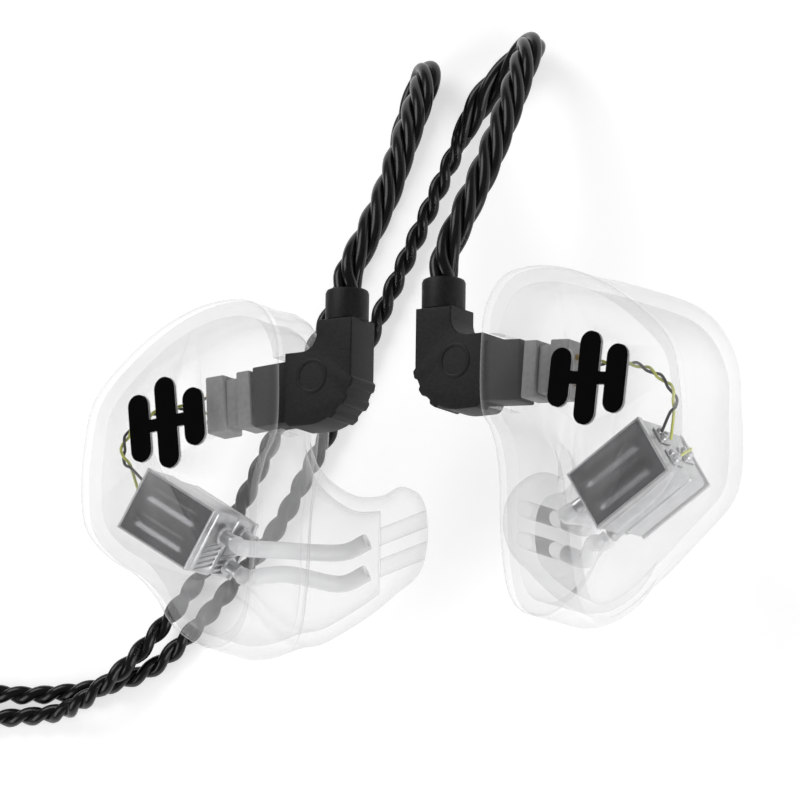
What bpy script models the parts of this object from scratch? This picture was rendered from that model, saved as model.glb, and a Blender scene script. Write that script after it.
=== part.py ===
"""A pair of custom in-ear monitors on one shared twisted cable, lying on a table.

Metres, +Z up. Every size below is in millimetres and MM turns it into metres.
Both monitors lie faceplate up. The right one is the left one mirrored in X, so
each piece of a monitor is drawn once, on the +X side: x grows away from the gap
between the monitors, y towards the ear hooks, and y = 0 is the plug pins' axis.
"""
import math
from collections import namedtuple

import bmesh
import bpy
from mathutils import Matrix, Vector

MM = 0.001
PART_NAME = "in_ear_monitors"
GAP = 0.3                       # clearance between pieces that meet
PINS_TO_ORIGIN = -5.17          # puts the origin under the middle of the two monitors and hooks

# Shell and faceplate
FACE_TOP = 18.0
FACE_THICKNESS = 1.2
SHELL_TOP = FACE_TOP - FACE_THICKNESS - GAP
WALL = 1.25
OUTLINE_CENTRE = (20.0, -6.0)
OUTLINE_SAMPLES = 36
FACE_OUTLINE = [                # the faceplate's edge, anticlockwise from its outer side
    (28.2, -3.0), (27.1, 1.0), (23.3, 4.6), (19.3, 6.9), (15.4, 7.9), (12.0, 7.5), (10.3, 5.4),
    (9.8, 2.9), (9.8, -3.0), (10.9, -5.4), (11.6, -8.6), (11.9, -14.6), (13.0, -19.4), (15.9, -20.7),
    (19.2, -18.8), (20.8, -16.4), (22.8, -14.3), (25.6, -12.5), (27.8, -10.1), (28.4, -7.0)]

# Each section of the body: centre, tilt in degrees towards the ear canal, width and height
# against the faceplate, share of the canal's oval, the oval's half sizes, and the top bulge.
Section = namedtuple("Section", "centre tilt width height oval half bulge")
BODY_SECTIONS = [
    Section((20.0, -6.0, SHELL_TOP), 0, 1.00, 1.00, 0.0, (1, 1), 0.0),
    Section((20.1, -6.0, 13.2), 0, 0.99, 1.00, 0.0, (1, 1), 0.8),
    Section((20.1, -5.9, 10.0), 2, 0.99, 1.00, 0.0, (1, 1), 1.6),
    Section((19.7, -6.2, 7.3), 9, 0.94, 0.94, 0.0, (1, 1), 1.1),
    Section((18.4, -7.1, 5.9), 20, 0.78, 0.86, 0.1, (7.0, 12.0), 0.4),
    Section((16.4, -9.2, 5.7), 33, 0.60, 0.75, 0.5, (5.2, 9.8), 0.0),
    Section((13.6, -11.4, 5.1), 44, 0.50, 0.60, 1.0, (4.1, 7.4), 0.0),
    Section((10.8, -11.9, 4.25), 51, 0.50, 0.60, 1.0, (3.5, 5.6), 0.0),
    Section((8.5, -11.2, 3.45), 54, 0.50, 0.60, 1.0, (3.2, 4.7), 0.0),
    Section((7.0, -10.2, 2.95), 55, 0.50, 0.60, 1.0, (3.05, 4.4), 0.0),
    Section((5.7, -9.9, 2.6), 55, 0.50, 0.60, 1.0, (2.7, 3.7), 0.0),
    Section((5.0, -9.8, 2.45), 55, 0.50, 0.60, 1.0, (2.05, 2.8), 0.0),
    Section((4.6, -9.8, 2.35), 55, 0.50, 0.60, 1.0, (1.1, 1.6), 0.0)]
CAVITY_SECTIONS = 9             # the hollow follows the first sections only
SLOT_LOW = (9.0, -3.0, 13.35)   # the slot in the shell's inner wall that takes the plug's nose
SLOT_HIGH = (14.0, 3.0, FACE_TOP)
SOUND_BORE = 1.4
SOUND_BORE_SPREAD = 1.3        # each bore's distance from the canal's axis
BULGE_AT = math.radians(58)
BULGE_SPREAD = math.radians(24)

# Faceplate mark: three rounded bars on a line
MARK_CENTRE = (20.0, -1.8)
MARK_DEPTH = 0.35
MARK_BAR_WIDTH = 1.9
MARK_BAR_PITCH = 2.62
MARK_BAR_HEIGHTS = (4.8, 7.6, 5.6)
MARK_LINE_HEIGHT = 1.0
MARK_TURN = math.radians(-6)

# Two-pin plug and socket, along the pins' axis
PIN_Z = 15.1
PIN_LEAN = math.radians(-3.5)   # the plug's arm points slightly down towards the socket
PIN_DIAMETER = 0.78
PIN_SPREAD = 1.05
PIN_SPAN = (11.9, 16.4)
BORE_DIAMETER = 1.2
ARM_END = 9.4
ARM_HALF_HEIGHT = 3.1
HOUSING_DEPTH = 3.6
HOUSING_BEVEL = 0.22
NOSE_END = 12.65
NOSE_SIZE = (5.0, 2.8)
SOCKET_STEPS = [                # near flange, neck and far flange: from, to, height, thickness
    (12.95, 14.3, 4.7, 2.7), (14.1, 15.6, 3.9, 2.1), (15.4, 17.2, 4.7, 2.7)]
LEG_INNER = 3.05                # the plug's upright leg, from x to x
LEG_OUTER = 6.4
LEG_TOP = 5.6
ELBOW_RADIUS = 4.1
ELBOW_CENTRE = (7.15, 1.1)
RIDGES = (192, 214, 236)        # grip ridges round the elbow, in degrees
RIDGE_HEIGHT = 0.28
RIDGE_HALF_WIDTH = 5.5
FILLET_RADIUS = 1.5
COLLAR_X = 4.6
COLLAR_RADIUS = 1.78
COLLAR_BEVEL = 0.25
COLLAR_SPAN = (LEG_TOP + GAP, 8.2)

# Driver pack: a large low driver in front of a flatter dual high driver
DRIVER_CENTRE = (21.45, -9.25)
DRIVER_TURN = math.radians(32)
DRIVER_FACE_Z = 15.6
Can = namedtuple("Can", "length width top bottom lid_top lid_bottom")
LOW_CAN = Can(7.8, 5.5, 14.95, 11.75, 15.6, 15.25)
HIGH_CAN = Can(7.3, 5.2, 11.45, 9.0, 8.7, 8.35)
CAN_BEVEL = 0.35
LID_BEVEL = 0.12
SPOUT_RADIUS = 0.62
SPOUT_BORE = 0.42
SPOUT_LENGTH = 1.3
LOW_SPOUT_SHIFT = 1.0           # across the can, from its middle
HIGH_SPOUT_SHIFT = 1.35
TERMINAL_SIZE = (0.5, 3.8, 1.7)
TUBE_DIAMETER = 1.4
TUBE_WALL = 0.3
LOW_TUBE_BEND = (15.1, -11.3, 8.9)
HIGH_TUBE_BEND = (14.6, -13.2, 7.9)
LEAD_DIAMETER = 0.3
LEAD_TWIST_RADIUS = 0.31
LEAD_PITCH = 3.4

# Cables
HOOK_DIAMETER = 2.4
LEG_DIAMETER = 1.6
TRUNK_DIAMETER = 2.2
LEG_COIL_RADII = (8.0, 9.6)        # the innermost and outermost turns
TRUNK_COIL_COLUMNS = 4
TRUNK_COIL_LAYERS = 3
TRUNK_COIL_RADIUS = 12.0
COIL_SIDES = 36

HOOK_ROUTES = {
    "left": [(4.6, 8.55, 15.1), (4.7, 10.2, 15.05), (5.6, 13.5, 14.0), (6.4, 18.0, 11.8), (6.7, 23.0, 9.1),
             (6.5, 27.0, 6.6), (5.9, 29.2, 4.4), (4.8, 29.8, 2.6), (3.2, 29.3, 1.5), (1.5, 28.1, 1.2),
             (-0.5, 26.3, 1.2), (-2.3, 23.7, 1.2)],
    "right": [(-4.6, 8.55, 15.1), (-4.5, 10.0, 14.9), (-3.9, 13.0, 13.3), (-3.5, 17.0, 11.0), (-3.5, 21.0, 8.8),
              (-3.8, 25.3, 6.0), (-4.4, 28.0, 3.7), (-5.5, 28.6, 2.1), (-6.6, 27.6, 1.3), (-7.6, 25.3, 1.2),
              (-9.0, 21.5, 1.2)]}
LEG_ROUTES = {                  # the right leg climbs over the left one near x = -35
    "left": [(-2.8, 22.9, 1.1), (-5.0, 19.0, 0.95), (-8.0, 13.5, 0.9), (-11.0, 8.0, 0.9), (-14.0, 2.0, 0.9),
             (-17.0, -3.0, 0.9), (-20.0, -7.6, 0.9), (-24.0, -11.8, 0.9), (-28.0, -15.5, 0.9),
             (-32.0, -18.4, 0.9), (-37.0, -19.6, 0.9), (-43.0, -19.8, 0.9), (-48.0, -19.3, 0.9),
             (-53.0, -18.9, 0.9), (-58.0, -18.9, 0.9)],
    "right": [(-9.4, 20.7, 1.1), (-11.0, 17.5, 0.95), (-14.0, 12.0, 0.9), (-17.0, 6.5, 0.9), (-20.0, 1.0, 0.9),
              (-23.0, -4.5, 0.9), (-26.5, -9.8, 0.9), (-29.5, -13.6, 1.2), (-32.0, -16.7, 2.1),
              (-33.5, -18.4, 2.7), (-35.5, -19.9, 2.95), (-38.0, -21.0, 2.45), (-41.0, -21.5, 1.3),
              (-45.0, -21.5, 0.9), (-49.0, -21.3, 0.95), (-53.0, -20.8, 1.8), (-56.0, -20.2, 3.0),
              (-58.0, -19.8, 3.8)]}
LEG_COIL_CENTRE = (-66.0, -9.4)
LEG_COIL_BASES = {"left": 0.0, "right": 3.5}     # the right leg's coil lies on the left one's
LEG_TAILS = {                   # raised a little, because the slider's bores hold the legs off the table
    "left": [(-71.0, -20.1, 2.2), (-75.0, -19.0, 1.7), (-80.0, -18.1, 1.5), (-85.0, -18.0, 1.5), (-93.0, -18.0, 1.5),
             (-100.7, -18.0, 1.5)],
    "right": [(-71.0, -21.3, 5.0), (-75.0, -21.2, 3.2), (-78.5, -20.5, 1.95), (-82.0, -20.1, 1.5),
              (-86.0, -20.0, 1.5), (-93.0, -20.0, 1.5), (-100.7, -20.0, 1.5)]}
SPLITTER_SPAN = (-113.0, -101.0)
SPLITTER_Y = -19.0
SPLITTER_Z = 1.9
SPLITTER_SIZE = (4.9, 3.7)
SPLITTER_BEVEL = 0.9
SLIDER_SPAN = (-98.5, -91.0)
SLIDER_SIZE = (6.4, 3.0)
SLIDER_BEVEL = 0.6
SLIDER_BORE = (4.3, 2.1)        # one flat slot takes both legs
TRUNK_ROUTE = [(-113.3, -19.0, 1.9), (-116.0, -18.8, 1.4), (-119.0, -17.2, 1.15), (-120.6, -14.2, 1.15),
               (-120.8, -10.5, 1.15), (-119.9, -6.5, 1.15), (-118.9, -2.5, 1.15), (-118.1, 1.0, 1.15)]
TRUNK_COIL_CENTRE = (-101.5, 10.0)
TRUNK_TAIL = [(-94.4, 25.9, 5.5), (-93.5, 26.3, 5.0), (-92.5, 26.7, 4.4), (-91.4, 26.8, 4.05)]
JACK_Y = 26.8
JACK_Z = 4.0
JACK_START = -91.0              # the strain relief's cable end; the jack points along +X
JACK_PIECES = {                 # turned pieces: (distance along the jack, radius), cable end first
    "jack_relief": [(0.0, 1.6), (0.6, 1.8), (7.7, 2.6)],
    "jack_housing": [(8.0, 3.2), (8.6, 3.9), (13.0, 4.0), (19.0, 4.0), (22.4, 3.6), (23.0, 3.2)],
    "jack_sleeve": [(23.3, 1.75), (30.6, 1.75)],
    "jack_ring": [(30.9, 1.75), (33.3, 1.75)],
    "jack_tip": [(33.6, 1.75), (35.0, 1.2), (35.6, 1.75), (37.2, 0.7), (37.5, 0.3)]}

PALETTE = {                     # colour, roughness, metallic, transmission
    "clear_acrylic": ((0.93, 0.95, 0.96), 0.06, 0.0, 0.9),
    "black_print": ((0.006, 0.006, 0.006), 0.35, 0.0, 0.0),
    "grey_moulding": ((0.36, 0.37, 0.37), 0.45, 0.0, 0.0),
    "black_moulding": ((0.022, 0.022, 0.023), 0.42, 0.0, 0.0),
    "dark_steel": ((0.16, 0.16, 0.17), 0.22, 0.9, 0.0),
    "light_steel": ((0.58, 0.59, 0.60), 0.32, 0.9, 0.0),
    "gold_contact": ((0.83, 0.62, 0.28), 0.25, 1.0, 0.0),
    "soft_tube": ((0.85, 0.88, 0.90), 0.3, 0.0, 0.4),
    "black_cable": ((0.02, 0.02, 0.021), 0.35, 0.0, 0.0),
    "black_lead": ((0.02, 0.02, 0.02), 0.4, 0.0, 0.0),
    "yellow_lead": ((0.55, 0.58, 0.12), 0.4, 0.0, 0.0)}

Ear = namedtuple("Ear", "name sign frame")


# ---------------------------------------------------------------- scene and materials

def clear_scene():
    for obj in list(bpy.data.objects):
        bpy.data.objects.remove(obj, do_unlink=True)


def new_collection(name):
    collection = bpy.data.collections.new(name)
    bpy.context.scene.collection.children.link(collection)
    return collection


def new_material(name):
    colour, roughness, metallic, transmission = PALETTE[name]
    material = bpy.data.materials.new(name)
    material.use_nodes = True
    shader = material.node_tree.nodes["Principled BSDF"]
    shader.inputs["Base Color"].default_value = (*colour, 1.0)
    shader.inputs["Roughness"].default_value = roughness
    shader.inputs["Metallic"].default_value = metallic
    shader.inputs["Transmission Weight"].default_value = transmission
    return material


def new_empty(name, place, parent=None):
    empty = bpy.data.objects.new(name, None)
    empty.location = Vector(place) * MM
    empty.parent = parent
    PARTS.objects.link(empty)
    return empty


def add_object(name, data, finish, frame, place):
    """Put mesh or curve data at a place given in the drawing's millimetres, under a frame."""
    obj = bpy.data.objects.new(name, data)
    obj.location = Vector(place) * MM - frame_place(frame)
    obj.parent = frame
    if finish:
        data.materials.append(MATERIALS[finish])
        PARTS.objects.link(obj)
    else:
        obj.hide_render = True
        obj.display_type = "WIRE"
        CUTTERS.objects.link(obj)
    return obj


def frame_place(frame):
    """A frame's own place in the drawing, which leaves out the drawing's shift to the origin."""
    return frame.location.copy() if frame.parent else Vector((0, 0, 0))


# ---------------------------------------------------------------- shape helpers

def mirrored(point, sign):
    return Vector((sign * point[0], point[1], point[2]))


def add_mesh(name, bm, finish, ear):
    """Mirror a drawn shape for its ear, centre its origin and make it an object."""
    if ear.sign < 0:
        bmesh.ops.scale(bm, vec=(-1, 1, 1), verts=bm.verts)
        bmesh.ops.reverse_faces(bm, faces=bm.faces)
    low = Vector([min(v.co[i] for v in bm.verts) for i in range(3)])
    high = Vector([max(v.co[i] for v in bm.verts) for i in range(3)])
    centre = (low + high) / 2
    bmesh.ops.translate(bm, vec=-centre, verts=bm.verts)
    bmesh.ops.scale(bm, vec=(MM, MM, MM), verts=bm.verts)
    mesh = bpy.data.meshes.new(name)
    bm.to_mesh(mesh)
    bm.free()
    return add_object(name, mesh, finish, ear.frame, centre)


def box_bm(low, high, turn=Matrix.Identity(4)):
    bm = bmesh.new()
    bmesh.ops.create_cube(bm, size=1)
    size = Vector(high) - Vector(low)
    bmesh.ops.scale(bm, vec=size, verts=bm.verts)
    bmesh.ops.translate(bm, vec=(Vector(low) + Vector(high)) / 2, verts=bm.verts)
    bmesh.ops.transform(bm, matrix=turn, verts=bm.verts)
    return bm


def rod_bm(start, end, radius, sides=16):
    bm = bmesh.new()
    run = Vector(end) - Vector(start)
    bmesh.ops.create_cone(bm, cap_ends=True, segments=sides, radius1=radius, radius2=radius, depth=run.length)
    bmesh.ops.transform(bm, matrix=aim(Vector(start) + run / 2, run), verts=bm.verts)
    return bm


def aim(place, direction):
    """A matrix that moves the origin to a place and turns +Z along a direction."""
    return Matrix.Translation(place) @ Vector(direction).to_track_quat("Z", "Y").to_matrix().to_4x4()


def loft_bm(rings, capped):
    """Skin rings of equally many points; capped closes the first and last ring."""
    bm = bmesh.new()
    rows = [[bm.verts.new(p) for p in ring] for ring in rings]
    count = len(rings[0])
    for upper, lower in zip(rows, rows[1:]):
        for i in range(count):
            j = (i + 1) % count
            bm.faces.new((upper[i], lower[i], lower[j], upper[j]))
    if capped:
        bm.faces.new(rows[0])
        bm.faces.new(list(reversed(rows[-1])))
    return bm


def bevel(obj, width, segments=1, angle=40):
    modifier = obj.modifiers.new("bevel", "BEVEL")
    modifier.width = width * MM
    modifier.segments = segments
    modifier.limit_method = "ANGLE"
    modifier.angle_limit = math.radians(angle)
    return modifier


def boolean(target, other, operation):
    modifier = target.modifiers.new(operation.lower(), "BOOLEAN")
    modifier.operation = operation
    modifier.object = other
    return modifier


def round_off(obj, angle=35):
    obj.data.shade_smooth()
    obj.data.set_sharp_from_angle(angle=math.radians(angle))


def plate(name, outline, bottom, top, finish, ear):
    """A flat piece: a closed 2D outline, filled and extruded, made a welded mesh."""
    curve = bpy.data.curves.new(name, "CURVE")
    curve.dimensions = "2D"
    curve.fill_mode = "BOTH"
    curve.extrude = (top - bottom) / 2 * MM
    spline = curve.splines.new("POLY")
    spline.points.add(len(outline) - 1)
    for point, (x, y) in zip(spline.points, outline):
        point.co = (ear.sign * x * MM, y * MM, 0, 1)
    spline.use_cyclic_u = True
    flat = add_object(name + "_curve", curve, finish, ear.frame, (0, 0, (top + bottom) / 2))
    return made_mesh(flat, name, finish, ear.frame)


def made_mesh(flat, name, finish, frame):
    """Turn a curve object into a welded mesh object at the same place."""
    bpy.context.view_layer.update()
    evaluated = flat.evaluated_get(bpy.context.evaluated_depsgraph_get())
    mesh = bpy.data.meshes.new_from_object(evaluated)
    bm = bmesh.new()
    bm.from_mesh(mesh)
    bmesh.ops.remove_doubles(bm, verts=bm.verts, dist=0.00001)
    bmesh.ops.recalc_face_normals(bm, faces=bm.faces)
    bm.to_mesh(mesh)
    bm.free()
    mesh.materials.clear()
    obj = add_object(name, mesh, finish, frame, flat.location / MM + frame_place(frame) / MM)
    bpy.data.objects.remove(flat)
    return obj


def tube(name, points, diameter, finish, frame, caps=True):
    """A wire or cable along points, as a poly curve with a round bevel."""
    curve = bpy.data.curves.new(name, "CURVE")
    curve.dimensions = "3D"
    curve.bevel_depth = diameter / 2 * MM
    curve.bevel_resolution = 2
    curve.use_fill_caps = caps
    spline = curve.splines.new("POLY")
    spline.points.add(len(points) - 1)
    for point, place in zip(spline.points, points):
        point.co = (*(Vector(place) * MM - frame_place(frame)), 1)
    return add_object(name, curve, finish, frame, frame_place(frame) / MM)


def turned(name, profile, place, direction, finish, frame, sides=24):
    """A round piece: a profile of (height, radius), turned about an axis with Screw."""
    points = [(radius, height) for height, radius in profile]
    points = [(0, points[0][1])] + points + [(0, points[-1][1])]
    mesh = bpy.data.meshes.new(name)
    bm = bmesh.new()
    verts = [bm.verts.new((r * MM, 0, h * MM)) for r, h in reversed(points)]
    for a, b in zip(verts, verts[1:]):
        bm.edges.new((a, b))
    bm.to_mesh(mesh)
    bm.free()
    obj = add_object(name, mesh, finish, frame, place)
    obj.rotation_euler = Vector(direction).to_track_quat("Z", "Y").to_euler()
    screw = obj.modifiers.new("turn", "SCREW")
    screw.steps = sides
    screw.render_steps = sides
    screw.use_merge_vertices = True
    screw.merge_threshold = 0.00001
    screw.use_smooth_shade = True
    return obj


def smooth_route(points, spacing):
    """Points at an even spacing on a smooth curve through the route's own points."""
    knots = [Vector(p) for p in points]
    knots = [2 * knots[0] - knots[1]] + knots + [2 * knots[-1] - knots[-2]]
    fine = []
    for before, a, b, after in zip(knots, knots[1:], knots[2:], knots[3:]):
        for step in range(24):
            fine.append(catmull(before, a, b, after, step / 24))
    fine.append(knots[-2])
    lengths = [0.0]
    for a, b in zip(fine, fine[1:]):
        lengths.append(lengths[-1] + (b - a).length)
    count = max(2, round(lengths[-1] / spacing))
    return [at_length(fine, lengths, lengths[-1] * i / count) for i in range(count + 1)]


def catmull(before, a, b, after, t):
    return 0.5 * (2 * a + (b - before) * t + (2 * before - 5 * a + 4 * b - after) * t ** 2
                  + (3 * a - before - 3 * b + after) * t ** 3)


def at_length(points, lengths, target):
    index = next((i for i, length in enumerate(lengths) if length >= target), len(lengths) - 1)
    if index == 0:
        return points[0]
    share = (target - lengths[index - 1]) / max(lengths[index] - lengths[index - 1], 1e-9)
    return points[index - 1].lerp(points[index], min(share, 1.0))


def ring_outline():
    """The faceplate's smooth edge, sampled at even angles round its centre."""
    closed = FACE_OUTLINE + FACE_OUTLINE[:3]
    knots = [Vector((x - OUTLINE_CENTRE[0], y - OUTLINE_CENTRE[1])) for x, y in closed]
    fine = []
    for before, a, b, after in zip(knots, knots[1:], knots[2:], knots[3:]):
        fine += [catmull(before, a, b, after, step / 12) for step in range(12)]
    fine.sort(key=lambda p: math.atan2(p.y, p.x) % math.tau)
    angles = [math.atan2(p.y, p.x) % math.tau for p in fine]
    samples = []
    for k in range(OUTLINE_SAMPLES):
        angle = math.tau * k / OUTLINE_SAMPLES
        after = next((i for i, a in enumerate(angles) if a > angle), 0)
        span = (angles[after] - angles[after - 1]) % math.tau
        share = ((angle - angles[after - 1]) % math.tau) / span
        radius = fine[after - 1].lerp(fine[after], share).length
        samples.append((radius * math.cos(angle), radius * math.sin(angle)))
    return samples


def section_ring(section, inset=0.0):
    """A body section's points in the drawing, moved in by a wall's thickness."""
    tilt = math.radians(section.tilt)
    across = Vector((math.cos(tilt), 0, -math.sin(tilt)))
    up = Vector((0, 1, 0))
    ring = []
    for x, y in ring_outline():
        angle = math.atan2(y, x)
        offset = (angle - BULGE_AT) / BULGE_SPREAD
        swell = 1 + section.bulge * math.exp(-offset * offset) / math.hypot(x, y)
        u = (1 - section.oval) * x * section.width * swell + section.oval * section.half[0] * math.cos(angle)
        v = (1 - section.oval) * y * section.height * swell + section.oval * section.half[1] * math.sin(angle)
        shrink = 1 - inset / math.hypot(u, v)
        ring.append(Vector(section.centre) + across * u * shrink + up * v * shrink)
    return ring


# ---------------------------------------------------------------- shell and faceplate

def build_shell(ear):
    """The hollow body with its ear canal, open at the top, one skin outside and one inside."""
    outer = [section_ring(s) for s in BODY_SECTIONS]
    inner = [section_ring(s, WALL) for s in BODY_SECTIONS[:CAVITY_SECTIONS]]
    shell = add_mesh(ear.name + "_shell", loft_bm(list(reversed(inner)) + outer, True), "clear_acrylic", ear)
    slot = box_bm(SLOT_LOW, SLOT_HIGH, pin_turn())
    boolean(shell, add_mesh(ear.name + "_slot_cutter", slot, None, ear), "DIFFERENCE")
    for name, bore in zip(("upper", "lower"), canal_bores()):
        cutter = add_mesh(f"{ear.name}_{name}_bore_cutter", rod_bm(*bore, SOUND_BORE / 2, 12), None, ear)
        boolean(shell, cutter, "DIFFERENCE")
    round_off(shell, 50)


def canal_bores():
    """The start and end of each sound bore, from the hollow out through the canal's tip."""
    inside = Vector(BODY_SECTIONS[CAVITY_SECTIONS - 1].centre)
    outside = Vector(BODY_SECTIONS[-1].centre)
    run = (outside - inside).normalized()
    offsets = [Vector((0, SOUND_BORE_SPREAD * s, 0)) for s in (1, -1)]
    return [(inside - run * 0.6 + o, outside + run + o) for o in offsets]


def build_faceplate(ear):
    outline = [(OUTLINE_CENTRE[0] + x, OUTLINE_CENTRE[1] + y) for x, y in ring_outline()]
    face = plate(ear.name + "_faceplate", outline, FACE_TOP - FACE_THICKNESS, FACE_TOP, "clear_acrylic", ear)
    recess = plate(ear.name + "_mark_cutter", mark_outline(GAP), FACE_TOP - MARK_DEPTH - GAP, FACE_TOP + 1, None, ear)
    boolean(face, recess, "DIFFERENCE")
    plate(ear.name + "_faceplate_mark", mark_outline(0), FACE_TOP - MARK_DEPTH, FACE_TOP, "black_print", ear)


def mark_outline(grow):
    """Three round-ended bars joined by a line, as one outline, anticlockwise."""
    half = MARK_BAR_WIDTH / 2 + grow
    line = MARK_LINE_HEIGHT / 2 + grow
    bars = [((i - 1) * MARK_BAR_PITCH, height / 2) for i, height in enumerate(MARK_BAR_HEIGHTS)]
    upper = []
    for x, reach in reversed(bars):
        ends = [math.radians(a) for a in (0, 45, 90, 135, 180)]
        upper.append((x + half, line))
        upper += [(x + half * math.cos(a), reach - MARK_BAR_WIDTH / 2 + half * math.sin(a)) for a in ends]
        upper.append((x - half, line))
    points = upper + [(x, -y) for x, y in reversed(upper)]
    cosine, sine = math.cos(MARK_TURN), math.sin(MARK_TURN)
    return [(MARK_CENTRE[0] + x * cosine - y * sine, MARK_CENTRE[1] + x * sine + y * cosine) for x, y in points]


# ---------------------------------------------------------------- plug and socket

def pin_turn():
    """The lean of the pins' axis, which passes through the middle of the plug's arm."""
    return Matrix.Translation((10, 0, 0)) @ Matrix.Rotation(PIN_LEAN, 4, "Z") @ Matrix.Translation((-10, 0, 0))


def pin_rod(start, end, offset, radius, sides=12):
    bm = rod_bm((start, offset, PIN_Z), (end, offset, PIN_Z), radius, sides)
    bmesh.ops.transform(bm, matrix=pin_turn(), verts=bm.verts)
    return bm


def cut_pin_bores(obj, ear, start, end):
    for name, offset in (("upper", PIN_SPREAD), ("lower", -PIN_SPREAD)):
        cutter = pin_rod(start, end, offset, BORE_DIAMETER / 2)
        boolean(obj, add_mesh(f"{obj.name}_{name}_cutter", cutter, None, ear), "DIFFERENCE")


def build_socket(ear):
    boxes = []
    for start, end, height, thickness in SOCKET_STEPS:
        low = (start, -height / 2, PIN_Z - thickness / 2)
        high = (end, height / 2, PIN_Z + thickness / 2)
        boxes.append(box_bm(low, high, pin_turn()))
    socket = add_mesh(ear.name + "_socket", boxes[0], "grey_moulding", ear)
    for i, step in enumerate(boxes[1:]):
        boolean(socket, add_mesh(f"{ear.name}_socket_step_{i}", step, None, ear), "UNION")
    cut_pin_bores(socket, ear, SOCKET_STEPS[0][0] - 1, PIN_SPAN[1] + GAP)


def housing_outline():
    """The plug's side view: an upright leg, an inner fillet, an arm and a ridged elbow."""
    arm_top = ARM_HALF_HEIGHT
    points = [(LEG_INNER, LEG_TOP), (LEG_INNER, ELBOW_CENTRE[1])]
    for degrees in range(182, 262, 2):
        radius = ELBOW_RADIUS
        if any(abs(degrees - ridge) < RIDGE_HALF_WIDTH for ridge in RIDGES):
            radius += RIDGE_HEIGHT
        points.append(around(ELBOW_CENTRE, radius, degrees))
    points = ridge_corners(points)
    points += [around(ELBOW_CENTRE, ELBOW_RADIUS, degrees) for degrees in (266, 270)]
    points += [(ARM_END, -ARM_HALF_HEIGHT), (ARM_END, arm_top)]
    centre = (LEG_OUTER + FILLET_RADIUS, arm_top + FILLET_RADIUS)
    points += [around(centre, FILLET_RADIUS, degrees) for degrees in (270, 252, 234, 216, 198, 180)]
    points.append((LEG_OUTER, LEG_TOP))
    return points


def around(centre, radius, degrees):
    angle = math.radians(degrees)
    return (centre[0] + radius * math.cos(angle), centre[1] + radius * math.sin(angle))


def ridge_corners(points):
    """Keep only the points where the elbow's radius changes, and every fourth one between."""
    kept = points[:2]
    for i in range(2, len(points)):
        radius = math.dist(points[i], ELBOW_CENTRE)
        before = math.dist(points[i - 1], ELBOW_CENTRE)
        after = math.dist(points[min(i + 1, len(points) - 1)], ELBOW_CENTRE)
        steps = abs(radius - before) > RIDGE_HEIGHT / 2 or abs(radius - after) > RIDGE_HEIGHT / 2
        if steps or i % 4 == 0:
            kept.append(points[i])
    return kept


def build_plug(ear):
    low, high = PIN_Z - HOUSING_DEPTH / 2, PIN_Z + HOUSING_DEPTH / 2
    housing = plate(ear.name + "_plug_housing", housing_outline(), low, high, "black_moulding", ear)
    bevel(housing, HOUSING_BEVEL)
    height, thickness = NOSE_SIZE
    nose = box_bm((ARM_END - 1.5, -height / 2, PIN_Z - thickness / 2),
                  (NOSE_END, height / 2, PIN_Z + thickness / 2), pin_turn())
    boolean(housing, add_mesh(ear.name + "_plug_nose", nose, None, ear), "UNION")
    cut_pin_bores(housing, ear, PIN_SPAN[0] - GAP, NOSE_END + 1)
    for name, offset in (("upper", PIN_SPREAD), ("lower", -PIN_SPREAD)):
        pin = add_mesh(f"{ear.name}_plug_pin_{name}", pin_rod(*PIN_SPAN, offset, PIN_DIAMETER / 2, 10),
                       "gold_contact", ear)
        round_off(pin)
    length = COLLAR_SPAN[1] - COLLAR_SPAN[0]
    shoulder = length - COLLAR_BEVEL
    profile = [(0, COLLAR_RADIUS), (shoulder, COLLAR_RADIUS), (length, COLLAR_RADIUS - COLLAR_BEVEL)]
    turned(ear.name + "_plug_collar", profile, mirrored((COLLAR_X, COLLAR_SPAN[0], PIN_Z), ear.sign),
           (0, 1, 0), "black_moulding", ear.frame)


# ---------------------------------------------------------------- driver pack

def driver_turn():
    return Matrix.Translation((*DRIVER_CENTRE, 0)) @ Matrix.Rotation(DRIVER_TURN, 4, "Z")


def driver_box(name, length, width, bottom, top, finish, ear, shift=0.0):
    low = (shift - length / 2, -width / 2, bottom)
    high = (shift + length / 2, width / 2, top)
    return add_mesh(name, box_bm(low, high, driver_turn()), finish, ear)


def build_can(ear, name, can, can_finish, lid_finish):
    body = driver_box(f"{ear.name}_{name}_can", can.length, can.width, can.bottom, can.top, can_finish, ear)
    bevel(body, CAN_BEVEL, 2)
    lid = driver_box(f"{ear.name}_{name}_lid", can.length, can.width, can.lid_bottom, can.lid_top, lid_finish, ear)
    bevel(lid, LID_BEVEL)
    middle = (can.top + can.bottom) / 2
    depth, width, height = TERMINAL_SIZE
    shift = can.length / 2 + GAP + depth / 2
    driver_box(f"{ear.name}_{name}_terminals", depth, width, middle - height / 2, middle + height / 2,
               "light_steel", ear, shift)
    return middle


def build_spout(ear, name, can, offset, height):
    """A short open tube on the end of a can that faces the ear canal."""
    start = -can.length / 2 - GAP
    turn = driver_turn()
    near = turn @ Vector((start, offset, height))
    far = turn @ Vector((start - SPOUT_LENGTH, offset, height))
    spout = add_mesh(f"{ear.name}_{name}", rod_bm(near, far, SPOUT_RADIUS), "light_steel", ear)
    mouth = far + (far - near)
    cutter = add_mesh(f"{ear.name}_{name}_cutter", rod_bm(near.lerp(far, 0.25), mouth, SPOUT_BORE, 10), None, ear)
    boolean(spout, cutter, "DIFFERENCE")
    round_off(spout)
    return far + (far - near).normalized() * GAP


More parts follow.
